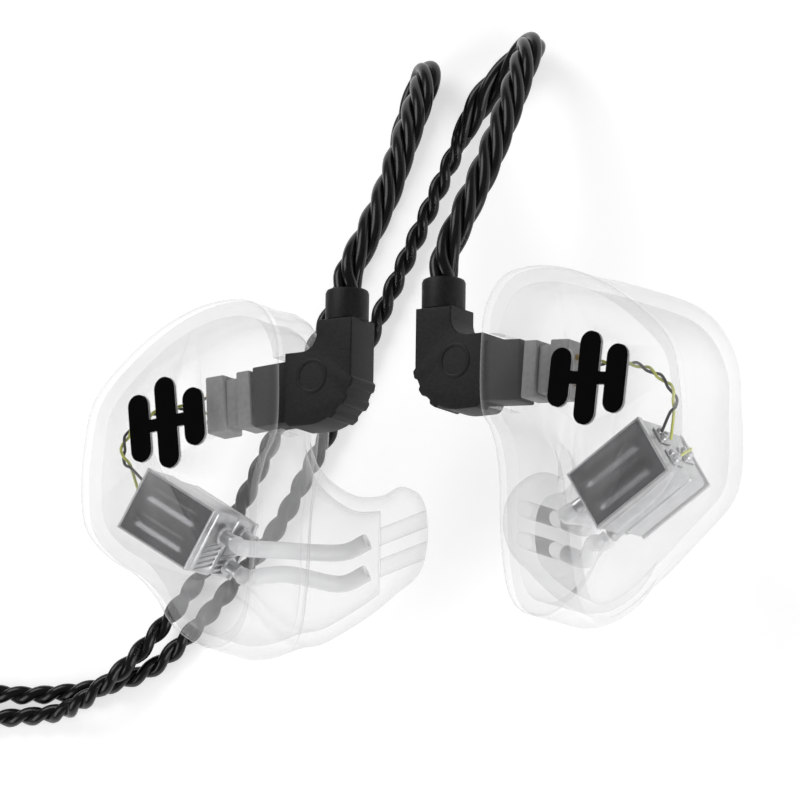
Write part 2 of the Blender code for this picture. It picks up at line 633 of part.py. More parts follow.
def build_drivers(ear):
    low_middle = build_can(ear, "low_driver", LOW_CAN, "light_steel", "dark_steel")
    high_middle = build_can(ear, "high_driver", HIGH_CAN, "light_steel", "light_steel")
    low = build_spout(ear, "low_driver_spout", LOW_CAN, LOW_SPOUT_SHIFT, low_middle)
    build_spout(ear, "high_driver_spout_upper", HIGH_CAN, HIGH_SPOUT_SHIFT, high_middle)
    high = build_spout(ear, "high_driver_spout_lower", HIGH_CAN, -HIGH_SPOUT_SHIFT, high_middle)
    bores = [start for start, end in canal_bores()]
    sound_tube(ear, "low_sound_tube", low, LOW_TUBE_BEND, bores[0])
    sound_tube(ear, "high_sound_tube", high, HIGH_TUBE_BEND, bores[1])


def sound_tube(ear, name, start, bend, end):
    """A soft hose that bends from a spout down into the canal's sound bore."""
    along = driver_turn().to_3x3() @ Vector((-1, 0, 0))
    run = (Vector(BODY_SECTIONS[-1].centre) - Vector(BODY_SECTIONS[CAVITY_SECTIONS - 1].centre)).normalized()
    finish_at = end - run * 0.5
    route = [start, start + along * 0.7, Vector(bend), finish_at - run * 2.5, finish_at]
    points = [mirrored(p, ear.sign) for p in smooth_route(route, 1.1)]
    curve = tube(ear.name + "_" + name + "_curve", points, TUBE_DIAMETER, "soft_tube", ear.frame, False)
    hose = made_mesh(curve, ear.name + "_" + name, "soft_tube", ear.frame)
    wall = hose.modifiers.new("wall", "SOLIDIFY")
    wall.thickness = TUBE_WALL * MM
    wall.offset = -1


# ---------------------------------------------------------------- leads inside the shell

LEAD_ROUTE = [(18.6, 0.1, 15.3), (20.6, 0.1, 15.8), (22.3, -0.1, 15.8), (23.9, -0.6, 15.7), (25.3, -1.5, 15.4),
              (26.1, -2.5, 15.0), (26.1, -3.5, 14.6), (25.4, -4.3, 14.2)]
LEAD_STARTS = {"black": (17.6, 0.75, PIN_Z), "yellow": (17.6, -0.95, PIN_Z)}
LEAD_ENDS = {"black": (24.0, -4.4, 13.6), "yellow": (25.7, -5.3, 13.6)}


def build_leads(ear):
    for turns_from, name in ((0.5, "black"), (0.0, "yellow")):
        points = [Vector(LEAD_STARTS[name])] + twisted(LEAD_ROUTE, turns_from) + [Vector(LEAD_ENDS[name])]
        placed = [mirrored(p, ear.sign) for p in points]
        tube(f"{ear.name}_lead_{name}", placed, LEAD_DIAMETER, name + "_lead", ear.frame)


def twisted(route, phase):
    """One wire of a twisted pair round a route."""
    centre = smooth_route(route, 2 * LEAD_DIAMETER)
    wire = []
    for i, place in enumerate(centre):
        ahead = centre[min(i + 1, len(centre) - 1)] - centre[max(i - 1, 0)]
        side = ahead.cross(Vector((0, 0, 1))).normalized()
        up = side.cross(ahead).normalized()
        angle = math.tau * (phase + i * 2 * LEAD_DIAMETER / LEAD_PITCH)
        wire.append(place + (side * math.cos(angle) + up * math.sin(angle)) * LEAD_TWIST_RADIUS)
    return wire


# ---------------------------------------------------------------- cables

def build_ring(name, centre, inner, outer, height, frame):
    """A coil's outer shape: a ring with round edges, standing at its centre's height."""
    edge = min(height, outer - inner) / 4
    corners = [(inner + edge, height), (outer - edge, height), (outer, height - edge), (outer, edge),
               (outer - edge, 0), (inner + edge, 0), (inner, edge), (inner, height - edge)]
    mesh = bpy.data.meshes.new(name)
    bm = bmesh.new()
    verts = [bm.verts.new((r * MM, 0, h * MM)) for r, h in corners]
    for a, b in zip(verts, verts[1:] + verts[:1]):
        bm.edges.new((a, b))
    bm.to_mesh(mesh)
    bm.free()
    ring = add_object(name, mesh, "black_cable", frame, centre)
    screw = ring.modifiers.new("turn", "SCREW")
    screw.steps = COIL_SIDES
    screw.render_steps = COIL_SIDES
    screw.use_merge_vertices = True
    screw.merge_threshold = 0.00001


def build_legs(frame):
    """Each leg: a stiff hook over the ear, the cable, its coil and the tail to the splitter."""
    for side in ("left", "right"):
        hook = smooth_route(HOOK_ROUTES[side], 2 * LEG_DIAMETER)
        tube(side + "_ear_hook", hook, HOOK_DIAMETER, "black_cable", frame)
        leg = smooth_route(LEG_ROUTES[side], 2.5 * LEG_DIAMETER)
        tube(side + "_leg_cable", leg, LEG_DIAMETER, "black_cable", frame)
        tail = smooth_route(LEG_TAILS[side], 2.5 * LEG_DIAMETER)
        tube(side + "_leg_tail", tail, LEG_DIAMETER, "black_cable", frame)
        half = LEG_DIAMETER / 2
        build_ring(side + "_leg_coil", (*LEG_COIL_CENTRE, LEG_COIL_BASES[side]), LEG_COIL_RADII[0] - half,
                   LEG_COIL_RADII[1] + half, 2 * LEG_DIAMETER, frame)


def build_trunk(frame):
    spacing = 2.5 * TRUNK_DIAMETER
    tube("trunk_cable", smooth_route(TRUNK_ROUTE, spacing / 2), TRUNK_DIAMETER, "black_cable", frame)
    tube("trunk_tail", smooth_route(TRUNK_TAIL, spacing / 2), TRUNK_DIAMETER, "black_cable", frame)
    half = TRUNK_COIL_COLUMNS * TRUNK_DIAMETER / 2
    build_ring("trunk_coil", (*TRUNK_COIL_CENTRE, 0), TRUNK_COIL_RADIUS - half, TRUNK_COIL_RADIUS + half,
               TRUNK_COIL_LAYERS * TRUNK_DIAMETER, frame)


def build_splitter(table):
    width, height = SPLITTER_SIZE
    low = (SPLITTER_SPAN[0], SPLITTER_Y - width / 2, SPLITTER_Z - height / 2)
    high = (SPLITTER_SPAN[1], SPLITTER_Y + width / 2, SPLITTER_Z + height / 2)
    splitter = add_mesh("cable_splitter", box_bm(low, high), "black_moulding", table)
    bevel(splitter, SPLITTER_BEVEL, 2)


def build_slider(table):
    """The chin slider: a flat bead with one slot round both legs."""
    width, height = SLIDER_SIZE
    slot_width, slot_height = SLIDER_BORE
    middle = height / 2
    low = (SLIDER_SPAN[0], SPLITTER_Y - width / 2, 0)
    high = (SLIDER_SPAN[1], SPLITTER_Y + width / 2, height)
    slider = add_mesh("chin_slider", box_bm(low, high), "black_moulding", table)
    bevel(slider, SLIDER_BEVEL, 2)
    slot_low = (SLIDER_SPAN[0] - 1, SPLITTER_Y - slot_width / 2, middle - slot_height / 2)
    slot_high = (SLIDER_SPAN[1] + 1, SPLITTER_Y + slot_width / 2, middle + slot_height / 2)
    boolean(slider, add_mesh("slider_cutter", box_bm(slot_low, slot_high), None, table), "DIFFERENCE")


def build_jack(frame):
    for name, profile in JACK_PIECES.items():
        finish = "black_moulding" if name in ("jack_relief", "jack_housing") else "gold_contact"
        start = profile[0][0]
        shape = [(along - start, radius) for along, radius in profile]
        turned(name, shape, (JACK_START + start, JACK_Y, JACK_Z), (1, 0, 0), finish, frame, 20)


# ---------------------------------------------------------------- the whole part

def build_monitor(ear):
    build_shell(ear)
    build_faceplate(ear)
    build_socket(ear)
    build_drivers(ear)
    build_leads(ear)


clear_scene()
PARTS = new_collection(PART_NAME)
CUTTERS = new_collection("cutters")
MATERIALS = {name: new_material(name) for name in PALETTE}


def build_all():
    root = new_empty("table_frame", (0, PINS_TO_ORIGIN, 0))
    for name, sign in (("left", 1), ("right", -1)):
        pins = new_empty(name + "_monitor_frame", (sign * 10, 0, PIN_Z), root)
        build_monitor(Ear(name, sign, pins))
        build_plug(Ear(name, sign, root))
    table = Ear("", 1, root)
    build_legs(root)
    build_splitter(table)
    build_slider(table)
    build_trunk(root)
    build_jack(root)


build_all()
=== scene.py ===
"""The looks of a pair of clear in-ear monitors on one twisted cable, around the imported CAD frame.

Drawing places are in millimetres, as in the part: y = 0 is the plug pins' axis, and the left
ear's monitor is drawn on the +X side. The right one is the left one mirrored in X.
"""
import math

import bmesh
import bpy
from mathutils import Matrix, Vector


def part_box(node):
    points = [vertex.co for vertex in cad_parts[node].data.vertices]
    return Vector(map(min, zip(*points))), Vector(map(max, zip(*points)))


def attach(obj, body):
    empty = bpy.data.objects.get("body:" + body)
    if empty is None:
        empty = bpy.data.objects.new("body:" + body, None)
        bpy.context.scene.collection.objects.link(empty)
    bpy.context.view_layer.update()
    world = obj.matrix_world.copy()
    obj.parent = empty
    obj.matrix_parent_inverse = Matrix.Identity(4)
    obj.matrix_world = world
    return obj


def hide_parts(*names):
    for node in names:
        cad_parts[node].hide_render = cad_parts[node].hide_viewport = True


MM = 0.001
SIGNS = {"left": 1, "right": -1}  # which side of x = 0 each ear's pieces are on
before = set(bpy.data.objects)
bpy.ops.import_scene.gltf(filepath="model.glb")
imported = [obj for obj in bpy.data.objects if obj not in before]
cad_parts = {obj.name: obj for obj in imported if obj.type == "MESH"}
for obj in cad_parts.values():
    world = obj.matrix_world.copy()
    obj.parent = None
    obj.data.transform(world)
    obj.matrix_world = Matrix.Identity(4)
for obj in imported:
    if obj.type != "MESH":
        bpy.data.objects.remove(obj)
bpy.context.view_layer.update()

# The drawing's y = 0 in the frame, from the jack, which lies along X at a known y
JACK_Y = 26.8
JACK_Z = 4.0
SHIFT_Y = sum(corner.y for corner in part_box("jack_sleeve")) / 2 / MM - JACK_Y

# -------- camera

LOOK_AT = (-3.25, 0.06, 9.0)
VIEW_RIGHT = Vector((0.85, 0.014, -0.53))
VIEW_UP = Vector((0.09, 0.98, 0.17))
CAMERA_DISTANCE = 1200.0
VIEW_WIDTH = 65.0  # how much the camera sees across at the point it looks at


def place(point):
    """A drawing point in the frame, in metres."""
    return Vector((point[0], point[1] + SHIFT_Y, point[2])) * MM


def add_camera():
    back = VIEW_RIGHT.cross(VIEW_UP).normalized()
    right = VIEW_UP.cross(back).normalized()
    up = back.cross(right)
    data = bpy.data.cameras.new("camera")
    data.sensor_width = 36.0
    data.lens = data.sensor_width * CAMERA_DISTANCE / VIEW_WIDTH
    data.clip_start = 0.01
    data.clip_end = 20.0
    camera = bpy.data.objects.new("camera", data)
    turn = Matrix((right, up, back)).transposed().to_4x4()
    camera.matrix_world = Matrix.Translation(place(LOOK_AT) + back * CAMERA_DISTANCE * MM) @ turn
    bpy.context.scene.collection.objects.link(camera)
    bpy.context.scene.camera = camera


add_camera()

# -------- materials

NOISE_DETAIL = 4.0
RAMP_ENDS = (0.3, 0.7)  # the noise values where a colour has become its dark or its light one
RELIEF_HEIGHT = 0.00005
CLEAR_ROUGHNESS = 0.08
CLEAR_NOISE = {"Scale": 160.0, "Detail": 1.0}
CLEAR_RELIEF = {"Strength": 0.15, "Distance": 0.0002}


def new_material(name, colour, roughness, metallic=0.0, **sockets):
    material = bpy.data.materials.new(name)
    material.use_nodes = True
    shader = material.node_tree.nodes["Principled BSDF"]
    shader.inputs["Base Color"].default_value = (*colour, 1.0)
    shader.inputs["Roughness"].default_value = roughness
    shader.inputs["Metallic"].default_value = metallic
    for socket, value in sockets.items():
        shader.inputs[socket.replace("_", " ")].default_value = value
    return material


def add_node(material, kind, **values):
    node = material.node_tree.nodes.new(kind)
    for key, value in values.items():
        node.inputs[key.replace("_", " ")].default_value = value
    return node


def vary(material, scale, dark, light, rough_low, rough_high, bump):
    """Noise in the object's own space, for the colour, the roughness and the bump."""
    links = material.node_tree.links
    shader = material.node_tree.nodes["Principled BSDF"]
    coordinates = add_node(material, "ShaderNodeTexCoord")
    noise = add_node(material, "ShaderNodeTexNoise", Scale=scale, Detail=NOISE_DETAIL)
    links.new(coordinates.outputs["Object"], noise.inputs["Vector"])
    ramp = add_node(material, "ShaderNodeValToRGB")
    for stop, position, colour in zip(ramp.color_ramp.elements, RAMP_ENDS, (dark, light)):
        stop.position = position
        stop.color = (*colour, 1)
    links.new(noise.outputs["Fac"], ramp.inputs["Fac"])
    links.new(ramp.outputs["Color"], shader.inputs["Base Color"])
    spread = add_node(material, "ShaderNodeMapRange")
    spread.inputs["To Min"].default_value = rough_low
    spread.inputs["To Max"].default_value = rough_high
    links.new(noise.outputs["Fac"], spread.inputs["Value"])
    links.new(spread.outputs["Result"], shader.inputs["Roughness"])
    relief = add_node(material, "ShaderNodeBump", Strength=bump, Distance=RELIEF_HEIGHT)
    links.new(noise.outputs["Fac"], relief.inputs["Height"])
    links.new(relief.outputs["Normal"], shader.inputs["Normal"])
    return material


def clear_material(name, edge_colour, least, most, power):
    """Clear plastic: what is behind shows through, less so where the wall is seen edge on."""
    material = new_material(name, edge_colour, CLEAR_ROUGHNESS)
    nodes, links = material.node_tree.nodes, material.node_tree.links
    shader = nodes["Principled BSDF"]
    output = nodes["Material Output"]
    clear = add_node(material, "ShaderNodeBsdfTransparent")
    weight = add_node(material, "ShaderNodeLayerWeight", Blend=0.5)
    steep = add_node(material, "ShaderNodeMath")
    steep.operation = "POWER"
    steep.inputs[1].default_value = power
    spread = add_node(material, "ShaderNodeMapRange")
    spread.inputs["To Min"].default_value = least
    spread.inputs["To Max"].default_value = most
    mix = add_node(material, "ShaderNodeMixShader")
    links.new(weight.outputs["Facing"], steep.inputs[0])
    links.new(steep.outputs["Value"], spread.inputs["Value"])
    links.new(spread.outputs["Result"], mix.inputs["Fac"])
    links.new(clear.outputs["BSDF"], mix.inputs[1])
    links.new(shader.outputs["BSDF"], mix.inputs[2])
    links.new(mix.outputs["Shader"], output.inputs["Surface"])
    coordinates = add_node(material, "ShaderNodeTexCoord")
    noise = add_node(material, "ShaderNodeTexNoise", **CLEAR_NOISE)
    relief = add_node(material, "ShaderNodeBump", **CLEAR_RELIEF)
    links.new(coordinates.outputs["Object"], noise.inputs["Vector"])
    links.new(noise.outputs["Fac"], relief.inputs["Height"])
    links.new(relief.outputs["Normal"], shader.inputs["Normal"])
    return material


def make_materials():
    made = {  # colour seen edge on, least and most cover, how fast it grows
        "clear_acrylic": clear_material("clear_acrylic", (0.74, 0.745, 0.75), 0.025, 0.5, 1.8),
        "soft_tube": clear_material("soft_tube", (0.86, 0.865, 0.87), 0.5, 0.75, 1.6)}
    recipes = {  # dark, light, roughness range, noise scale, bump, metallic
        "black_print": ((0.0005,) * 3, (0.001,) * 3, 0.5, 0.6, 900, 0.03, 0.0),
        "grey_moulding": ((0.19, 0.193, 0.193), (0.24, 0.243, 0.243), 0.45, 0.55, 2500, 0.2, 0.0),
        "black_moulding": ((0.006,) * 3, (0.012,) * 3, 0.42, 0.56, 4000, 0.35, 0.0),
        "dark_steel": ((0.12, 0.12, 0.124), (0.145, 0.145, 0.15), 0.24, 0.28, 500, 0.02, 0.9),
        "light_steel": ((0.46, 0.465, 0.47), (0.58, 0.585, 0.59), 0.3, 0.4, 1200, 0.08, 0.85),
        "gold_contact": ((0.72, 0.50, 0.20), (0.86, 0.64, 0.30), 0.18, 0.3, 900, 0.05, 1.0),
        "black_cable": ((0.002,) * 3, (0.006,) * 3, 0.18, 0.27, 1500, 0.08, 0.0),
        "black_lead": ((0.004,) * 3, (0.01,) * 3, 0.3, 0.45, 2000, 0.1, 0.0),
        "yellow_lead": ((0.42, 0.45, 0.05), (0.58, 0.61, 0.12), 0.3, 0.45, 2000, 0.1, 0.0)}
    for name, (dark, light, low, high, scale, bump, metallic) in recipes.items():
        material = new_material(name, light, high, metallic)
        made[name] = vary(material, scale, dark, light, low, high, bump)
    for name, level in (("black_print", 0.03), ("black_moulding", 0.22), ("black_cable", 0.3)):
        shader = made[name].node_tree.nodes["Principled BSDF"]
        shader.inputs["Specular IOR Level"].default_value = level
    return made


MATERIALS = make_materials()

# -------- mesh helpers

SOFT_EDGE = 50  # shading breaks only at corners sharper than this, in degrees
ROPE_EDGE = 80
CURVE_STEPS = 12  # places read on a curve between two of its own points
MERGE_DISTANCE = 0.0001


def mirrored(point, sign):
    return Vector((sign * point[0], point[1], point[2]))


def aim(spot, direction):
    """A matrix that moves the origin to a place and turns +Z along a direction."""
    return Matrix.Translation(spot) @ Vector(direction).to_track_quat("Z", "Y").to_matrix().to_4x4()


def add_piece(name, bm, finish, body, sign=1, replaced=(), sharp=35):
    """Make a drawn mesh a piece: mirror it, move it into the frame, finish it and let it ride."""
    if sign < 0:
        bmesh.ops.scale(bm, vec=(-1, 1, 1), verts=bm.verts)
        bmesh.ops.reverse_faces(bm, faces=bm.faces)
    bmesh.ops.recalc_face_normals(bm, faces=bm.faces)
    for vert in bm.verts:
        vert.co = place(vert.co)
    mesh = bpy.data.meshes.new(name)
    bm.to_mesh(mesh)
    bm.free()
    mesh.materials.append(MATERIALS[finish])
    mesh.shade_smooth()
    mesh.set_sharp_from_angle(angle=math.radians(sharp))
    piece = bpy.data.objects.new(name, mesh)
    bpy.context.scene.collection.objects.link(piece)
    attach(piece, body)
    if replaced:
        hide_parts(*replaced)
    return piece


def loft_bm(rings, capped=True):
    bm = bmesh.new()
    rows = [[bm.verts.new(p) for p in ring] for ring in rings]
    count = len(rings[0])
    for first, second in zip(rows, rows[1:]):
        for i in range(count):
            j = (i + 1) % count
            bm.faces.new((first[i], second[i], second[j], first[j]))
    if capped:
        bm.faces.new(rows[0])
        bm.faces.new(list(reversed(rows[-1])))
    return bm


def closed_loft_bm(rings):
    """A loft whose last ring meets its first."""
    bm = loft_bm(rings + [rings[0]], False)
    bmesh.ops.remove_doubles(bm, verts=bm.verts, dist=MERGE_DISTANCE)
    return bm


def join_bm(target, other):
    mesh = bpy.data.meshes.new("joined")
    other.to_mesh(mesh)
    other.free()
    target.from_mesh(mesh)
    bpy.data.meshes.remove(mesh)
    return target


def block_bm(low, high, edge=0.0, turn=Matrix.Identity(4), segments=3):
    """A box with rounded edges."""
    bm = bmesh.new()
    bmesh.ops.create_cube(bm, size=1)
    bmesh.ops.scale(bm, vec=Vector(high) - Vector(low), verts=bm.verts)
    bmesh.ops.translate(bm, vec=(Vector(low) + Vector(high)) / 2, verts=bm.verts)
    if edge:
        bmesh.ops.bevel(bm, geom=bm.edges, offset=edge, segments=segments, profile=0.5, affect="EDGES")
    bmesh.ops.transform(bm, matrix=turn, verts=bm.verts)
    return bm


def turned_bm(profile, matrix, sides=40):
    """A round piece: a profile of (height, radius) turned about the matrix's Z."""
    angles = [math.tau * k / sides for k in range(sides)]
    return loft_bm([[matrix @ Vector((radius * math.cos(a), radius * math.sin(a), height)) for a in angles]
                    for height, radius in profile])


def inset_outline(outline, distance):
    """An outline moved inwards by a distance, for outlines that run anticlockwise."""
    moved = []
    for i, point in enumerate(outline):
        before, after = Vector(outline[i - 1]), Vector(outline[(i + 1) % len(outline)])
        here = Vector(point)
        first = (here - before).normalized()
        second = (after - here).normalized()
        inward = Vector((-first.y - second.y, first.x + second.x)).normalized()
        lean = max(0.4, Vector((-first.y, first.x)).dot(inward))
        moved.append(here + inward * distance / lean)
    return moved


def slab_bm(outline, bottom, top, edge, steps=4):
    """A flat piece with rounded edges all round its outline."""
    levels = []
    for k in range(steps + 1):
        angle = math.pi / 2 * k / steps
        levels.append((bottom + edge * (1 - math.sin(angle)), edge * (1 - math.cos(angle))))
    levels = levels[::-1] + [(top - (z - bottom), inset) for z, inset in levels]
    rings = [[(p.x, p.y, z) for p in inset_outline(outline, inset)] for z, inset in levels]
    return loft_bm(rings)


def carve(piece, cutters, sign=1):
    """Cut drawn shapes out of a piece, and keep only the result's mesh."""
    for bm in cutters:
        if sign < 0:
            bmesh.ops.scale(bm, vec=(-1, 1, 1), verts=bm.verts)
        bmesh.ops.recalc_face_normals(bm, faces=bm.faces)
        for vert in bm.verts:
            vert.co = place(vert.co)
        mesh = bpy.data.meshes.new("cutter")
        bm.to_mesh(mesh)
        bm.free()
        cutter = bpy.data.objects.new("cutter", mesh)
        bpy.context.scene.collection.objects.link(cutter)
        modifier = piece.modifiers.new("cut", "BOOLEAN")
        modifier.operation = "DIFFERENCE"
        modifier.solver = "EXACT"
        modifier.object = cutter
        bpy.context.view_layer.update()
        evaluated = piece.evaluated_get(bpy.context.evaluated_depsgraph_get())
        made = bpy.data.meshes.new_from_object(evaluated)
        piece.modifiers.clear()
        piece.data = made
        bpy.data.objects.remove(cutter)
    return piece


# -------- routes and ropes


def catmull(before, a, b, after, t):
    return 0.5 * (2 * a + (b - before) * t + (2 * before - 5 * a + 4 * b - after) * t ** 2
                  + (3 * a - before - 3 * b + after) * t ** 3)


def between_knots(knots):
    """Places on the smooth curve from the second knot up to the last but one, without its end."""
    fine = []
    for before, a, b, after in zip(knots, knots[1:], knots[2:], knots[3:]):
        fine += [catmull(before, a, b, after, step / CURVE_STEPS) for step in range(CURVE_STEPS)]
    return fine


def smooth_route(points, spacing):
    """Points at an even spacing on a smooth curve through the route's own points."""
    knots = [Vector(p) for p in points]
    knots = [2 * knots[0] - knots[1]] + knots + [2 * knots[-1] - knots[-2]]
    return even(between_knots(knots) + [knots[-2]], spacing)


def even(points, spacing):
    """The same polyline with its points at an even spacing."""
    lengths = [0.0]
    for a, b in zip(points, points[1:]):
        lengths.append(lengths[-1] + (b - a).length)
    count = max(2, round(lengths[-1] / spacing))
    result, index = [], 1
    for i in range(count + 1):
        target = lengths[-1] * i / count
        while index < len(points) - 1 and lengths[index] < target:
            index += 1
        share = (target - lengths[index - 1]) / max(lengths[index] - lengths[index - 1], 1e-9)
        result.append(points[index - 1].lerp(points[index], min(max(share, 0.0), 1.0)))
    return result


def carried_frames(points):
    """A side and an up vector at each point, carried along without twisting."""
    frames = []
    side = None
    for i in range(len(points)):
        ahead = (points[min(i + 1, len(points) - 1)] - points[max(i - 1, 0)]).normalized()
        if side is None:
            side = ahead.cross(Vector((0, 0, 1)))
        side = (side - ahead * side.dot(ahead)).normalized()
        frames.append((side, ahead.cross(side)))
    return frames


def sweep_bm(points, radius, sides, scales=None):
    rings = []
    for point, (side, up), scale in zip(points, carried_frames(points), scales or [1.0] * len(points)):
        angles = [math.tau * k / sides for k in range(sides)]
        rings.append([point + (side * math.cos(a) + up * math.sin(a)) * radius * scale for a in angles])
    return loft_bm(rings)


def rope_bm(points, strands, strand_radius, offset, pitch, sides=10, scales=None):
    """Strands laid round a route, left-handed as in the real cable. Points are evenly spaced."""
    spacing = (points[1] - points[0]).length
    frames = carried_frames(points)
    scales = scales or [1.0] * len(points)
    whole = bmesh.new()
    for strand in range(strands):
        line = []
        for i, (point, (side, up), scale) in enumerate(zip(points, frames, scales)):
            angle = -math.tau * (i * spacing / pitch + strand / strands)
            line.append(point + (side * math.cos(angle) + up * math.sin(angle)) * offset * scale)
        join_bm(whole, sweep_bm(line, strand_radius, sides, scales))
    return whole


def smoothstep(t):
    t = min(max(t, 0.0), 1.0)
    return t * t * (3 - 2 * t)


def coil_points(centre, start_angle, plan, per_turn):
    """A coil wound clockwise. plan lists (turns so far, radius, height), with smooth moves between."""
    points = []
    for i in range(int(plan[-1][0] * per_turn) + 1):
        turns = i / per_turn
        after = next(k for k, knot in enumerate(plan) if knot[0] >= turns)
        before = max(after - 1, 0)
        span = plan[after][0] - plan[before][0]
        share = smoothstep((turns - plan[before][0]) / span) if span else 0.0
        radius = plan[before][1] + (plan[after][1] - plan[before][1]) * share
        height = plan[before][2] + (plan[after][2] - plan[before][2]) * share
        angle = math.radians(start_angle) - math.tau * turns
        points.append(Vector((centre[0] + radius * math.cos(angle), centre[1] + radius * math.sin(angle),
                              height)))
    return points


# -------- cords

HOOK_DIAMETER = 2.4
HOOK_TAPER = 9.0  # how far from its end a hook starts to thin
LEG_DIAMETER = 1.6
TRUNK_DIAMETER = 2.2
LEG_LENGTHS = {"left": 0.351, "right": 0.347}  # from the ear hook's end to the splitter
END_REACH = 0.8  # how far a cord runs on past its route's end, into what holds it
HOOK_STRAND = HOOK_DIAMETER / 2 * 0.42
HOOK_PITCH = 12.0
HOOK_THINNEST = 0.25  # its share of the full size where it meets the leg
HOOK_INNER_END = (4.6, 7.4, 15.1)  # inside the collar
LEG_STRAND = LEG_DIAMETER * 0.29
LEG_STRAND_OFFSET = LEG_DIAMETER * 0.21
LEG_PITCH = 4.5
LEG_TURN_POINTS = 48
TRUNK_STRAND = TRUNK_DIAMETER / 2 / (1 + math.sqrt(2))  # four strands that touch
TRUNK_PITCH = 7.0
TRUNK_TURN_POINTS = 60
ROUTE_SPACING = 0.5
HOOK_ROUTES = {
    "left": [(4.6, 8.55, 15.1), (4.7, 10.2, 15.05), (5.6, 13.5, 14.0), (6.4, 18.0, 11.8), (6.7, 23.0, 9.1),
             (6.5, 27.0, 6.6), (5.9, 29.2, 4.4), (4.8, 29.8, 2.6), (3.2, 29.3, 1.5), (1.5, 28.1, 1.2),
             (-0.5, 26.3, 1.2), (-2.3, 23.7, 1.2)],
    "right": [(-4.6, 8.55, 15.1), (-4.5, 10.0, 14.9), (-3.9, 13.0, 13.3), (-3.5, 17.0, 11.0),
              (-3.5, 21.0, 8.8), (-3.8, 25.3, 6.0), (-4.4, 28.0, 3.7), (-5.5, 28.6, 2.1),
              (-6.6, 27.6, 1.3), (-7.6, 25.3, 1.2), (-9.0, 21.5, 1.2)]}
LEG_ROUTES = {  # the right leg climbs over the left one near x = -35
    "left": [(-2.8, 22.9, 1.1), (-5.0, 19.0, 0.95), (-8.0, 13.5, 0.9), (-11.0, 8.0, 0.9), (-14.0, 2.0, 0.9),
             (-17.0, -3.0, 0.9), (-20.0, -7.6, 0.9), (-24.0, -11.8, 0.9), (-28.0, -15.5, 0.9),
             (-32.0, -18.4, 0.9), (-37.0, -19.6, 0.9), (-43.0, -19.8, 0.9), (-48.0, -19.3, 0.9),
             (-53.0, -18.9, 0.9), (-58.0, -18.9, 0.9)],
    "right": [(-9.4, 20.7, 1.1), (-11.0, 17.5, 0.95), (-14.0, 12.0, 0.9), (-17.0, 6.5, 0.9),
              (-20.0, 1.0, 0.9), (-23.0, -4.5, 0.9), (-26.5, -9.8, 0.9), (-29.5, -13.6, 1.2),
              (-32.0, -16.7, 2.1), (-33.5, -18.4, 2.7), (-35.5, -19.9, 2.95), (-38.0, -21.0, 2.45),
              (-41.0, -21.5, 1.3),
              (-45.0, -21.5, 0.9), (-49.0, -21.3, 0.95), (-53.0, -20.8, 1.8), (-56.0, -20.2, 3.0),
              (-58.0, -19.8, 3.8)]}
LEG_COIL_CENTRE = (-66.0, -9.4)
LEG_COIL_BASES = {"left": 0.0, "right": 3.5}  # the right leg's coil lies on the left one's
# Two turns on the table, two on top. The last one leaves outside the others, so that it climbs
# over nothing: (turns so far, radius, height)
LEG_COIL_PLAN = [(0.0, 9.6, 0.8), (0.83, 9.6, 0.8), (1.0, 8.0, 0.8), (1.67, 8.0, 0.8), (1.83, 8.0, 2.4),
                 (2.5, 8.0, 2.4), (2.67, 9.6, 2.4), (3.5, 9.6, 2.4), (3.67, 11.2, 2.4), (4.0, 11.2, 2.4)]
LEG_TAILS = {
    "left": [(-71.0, -20.1, 2.2), (-75.0, -19.0, 1.7), (-80.0, -18.1, 1.5), (-85.0, -18.0, 1.5),
             (-93.0, -18.0, 1.5), (-100.7, -18.0, 1.5)],
    "right": [(-71.0, -21.3, 5.0), (-75.0, -21.2, 3.2), (-78.5, -20.5, 1.95), (-82.0, -20.1, 1.5),
              (-86.0, -20.0, 1.5), (-93.0, -20.0, 1.5), (-100.7, -20.0, 1.5)]}
TRUNK_ROUTE = [(-113.3, -19.0, 1.9), (-116.0, -18.8, 1.4), (-119.0, -17.2, 1.15), (-120.6, -14.2, 1.15),
               (-120.8, -10.5, 1.15), (-119.9, -6.5, 1.15), (-118.9, -2.5, 1.15), (-118.1, 1.0, 1.15)]
TRUNK_COIL_CENTRE = (-101.5, 10.0)
TRUNK_RADII = (15.3, 13.1, 10.9, 8.7)
TRUNK_LEVELS = (1.1, 3.3, 5.5)
TRUNK_TAIL = [(-94.4, 25.9, 5.5), (-93.5, 26.3, 5.0), (-92.5, 26.7, 4.4), (-91.4, 26.8, 4.05)]


def trunk_coil_plan():
    """In on the table, out on the second layer, then across and out again on top."""
    wide, outer, inner, tight = TRUNK_RADII
    low, middle, high = TRUNK_LEVELS
    hump = high + TRUNK_DIAMETER
    plan = [(0.0, wide, low)]
    for turn, (here, there) in enumerate(zip(TRUNK_RADII, TRUNK_RADII[1:])):
        plan += [(turn + 0.8, here, low), (turn + 1.0, there, low)]
    plan += [(3.6, tight, low), (3.8, tight, middle)]
    for turn, (here, there) in enumerate(zip((tight, inner, outer), (inner, outer, wide)), 4):
        plan += [(turn + 0.4, here, middle), (turn + 0.6, there, middle)]
    plan += [(7.2, wide, middle), (7.4, wide, high), (7.6, inner, high), (8.2, inner, high),
             (8.4, outer, hump), (8.6, outer, hump), (8.8, outer, high), (9.05, outer, high),
             (9.2, outer, hump), (9.4, wide, hump), (9.6, wide, hump), (9.8, wide, high),
             (10.25, wide, high)]
    return plan


def joined_path(route, coil, tail, spacing):
    """A route, a coil and a tail as one evenly spaced line, smooth where they meet."""
    start = smooth_route(route + coil[:2], ROUTE_SPACING)
    end = smooth_route(coil[-2:] + tail, ROUTE_SPACING)
    return even(start[:-1] + coil[1:-1] + end[1:], spacing)


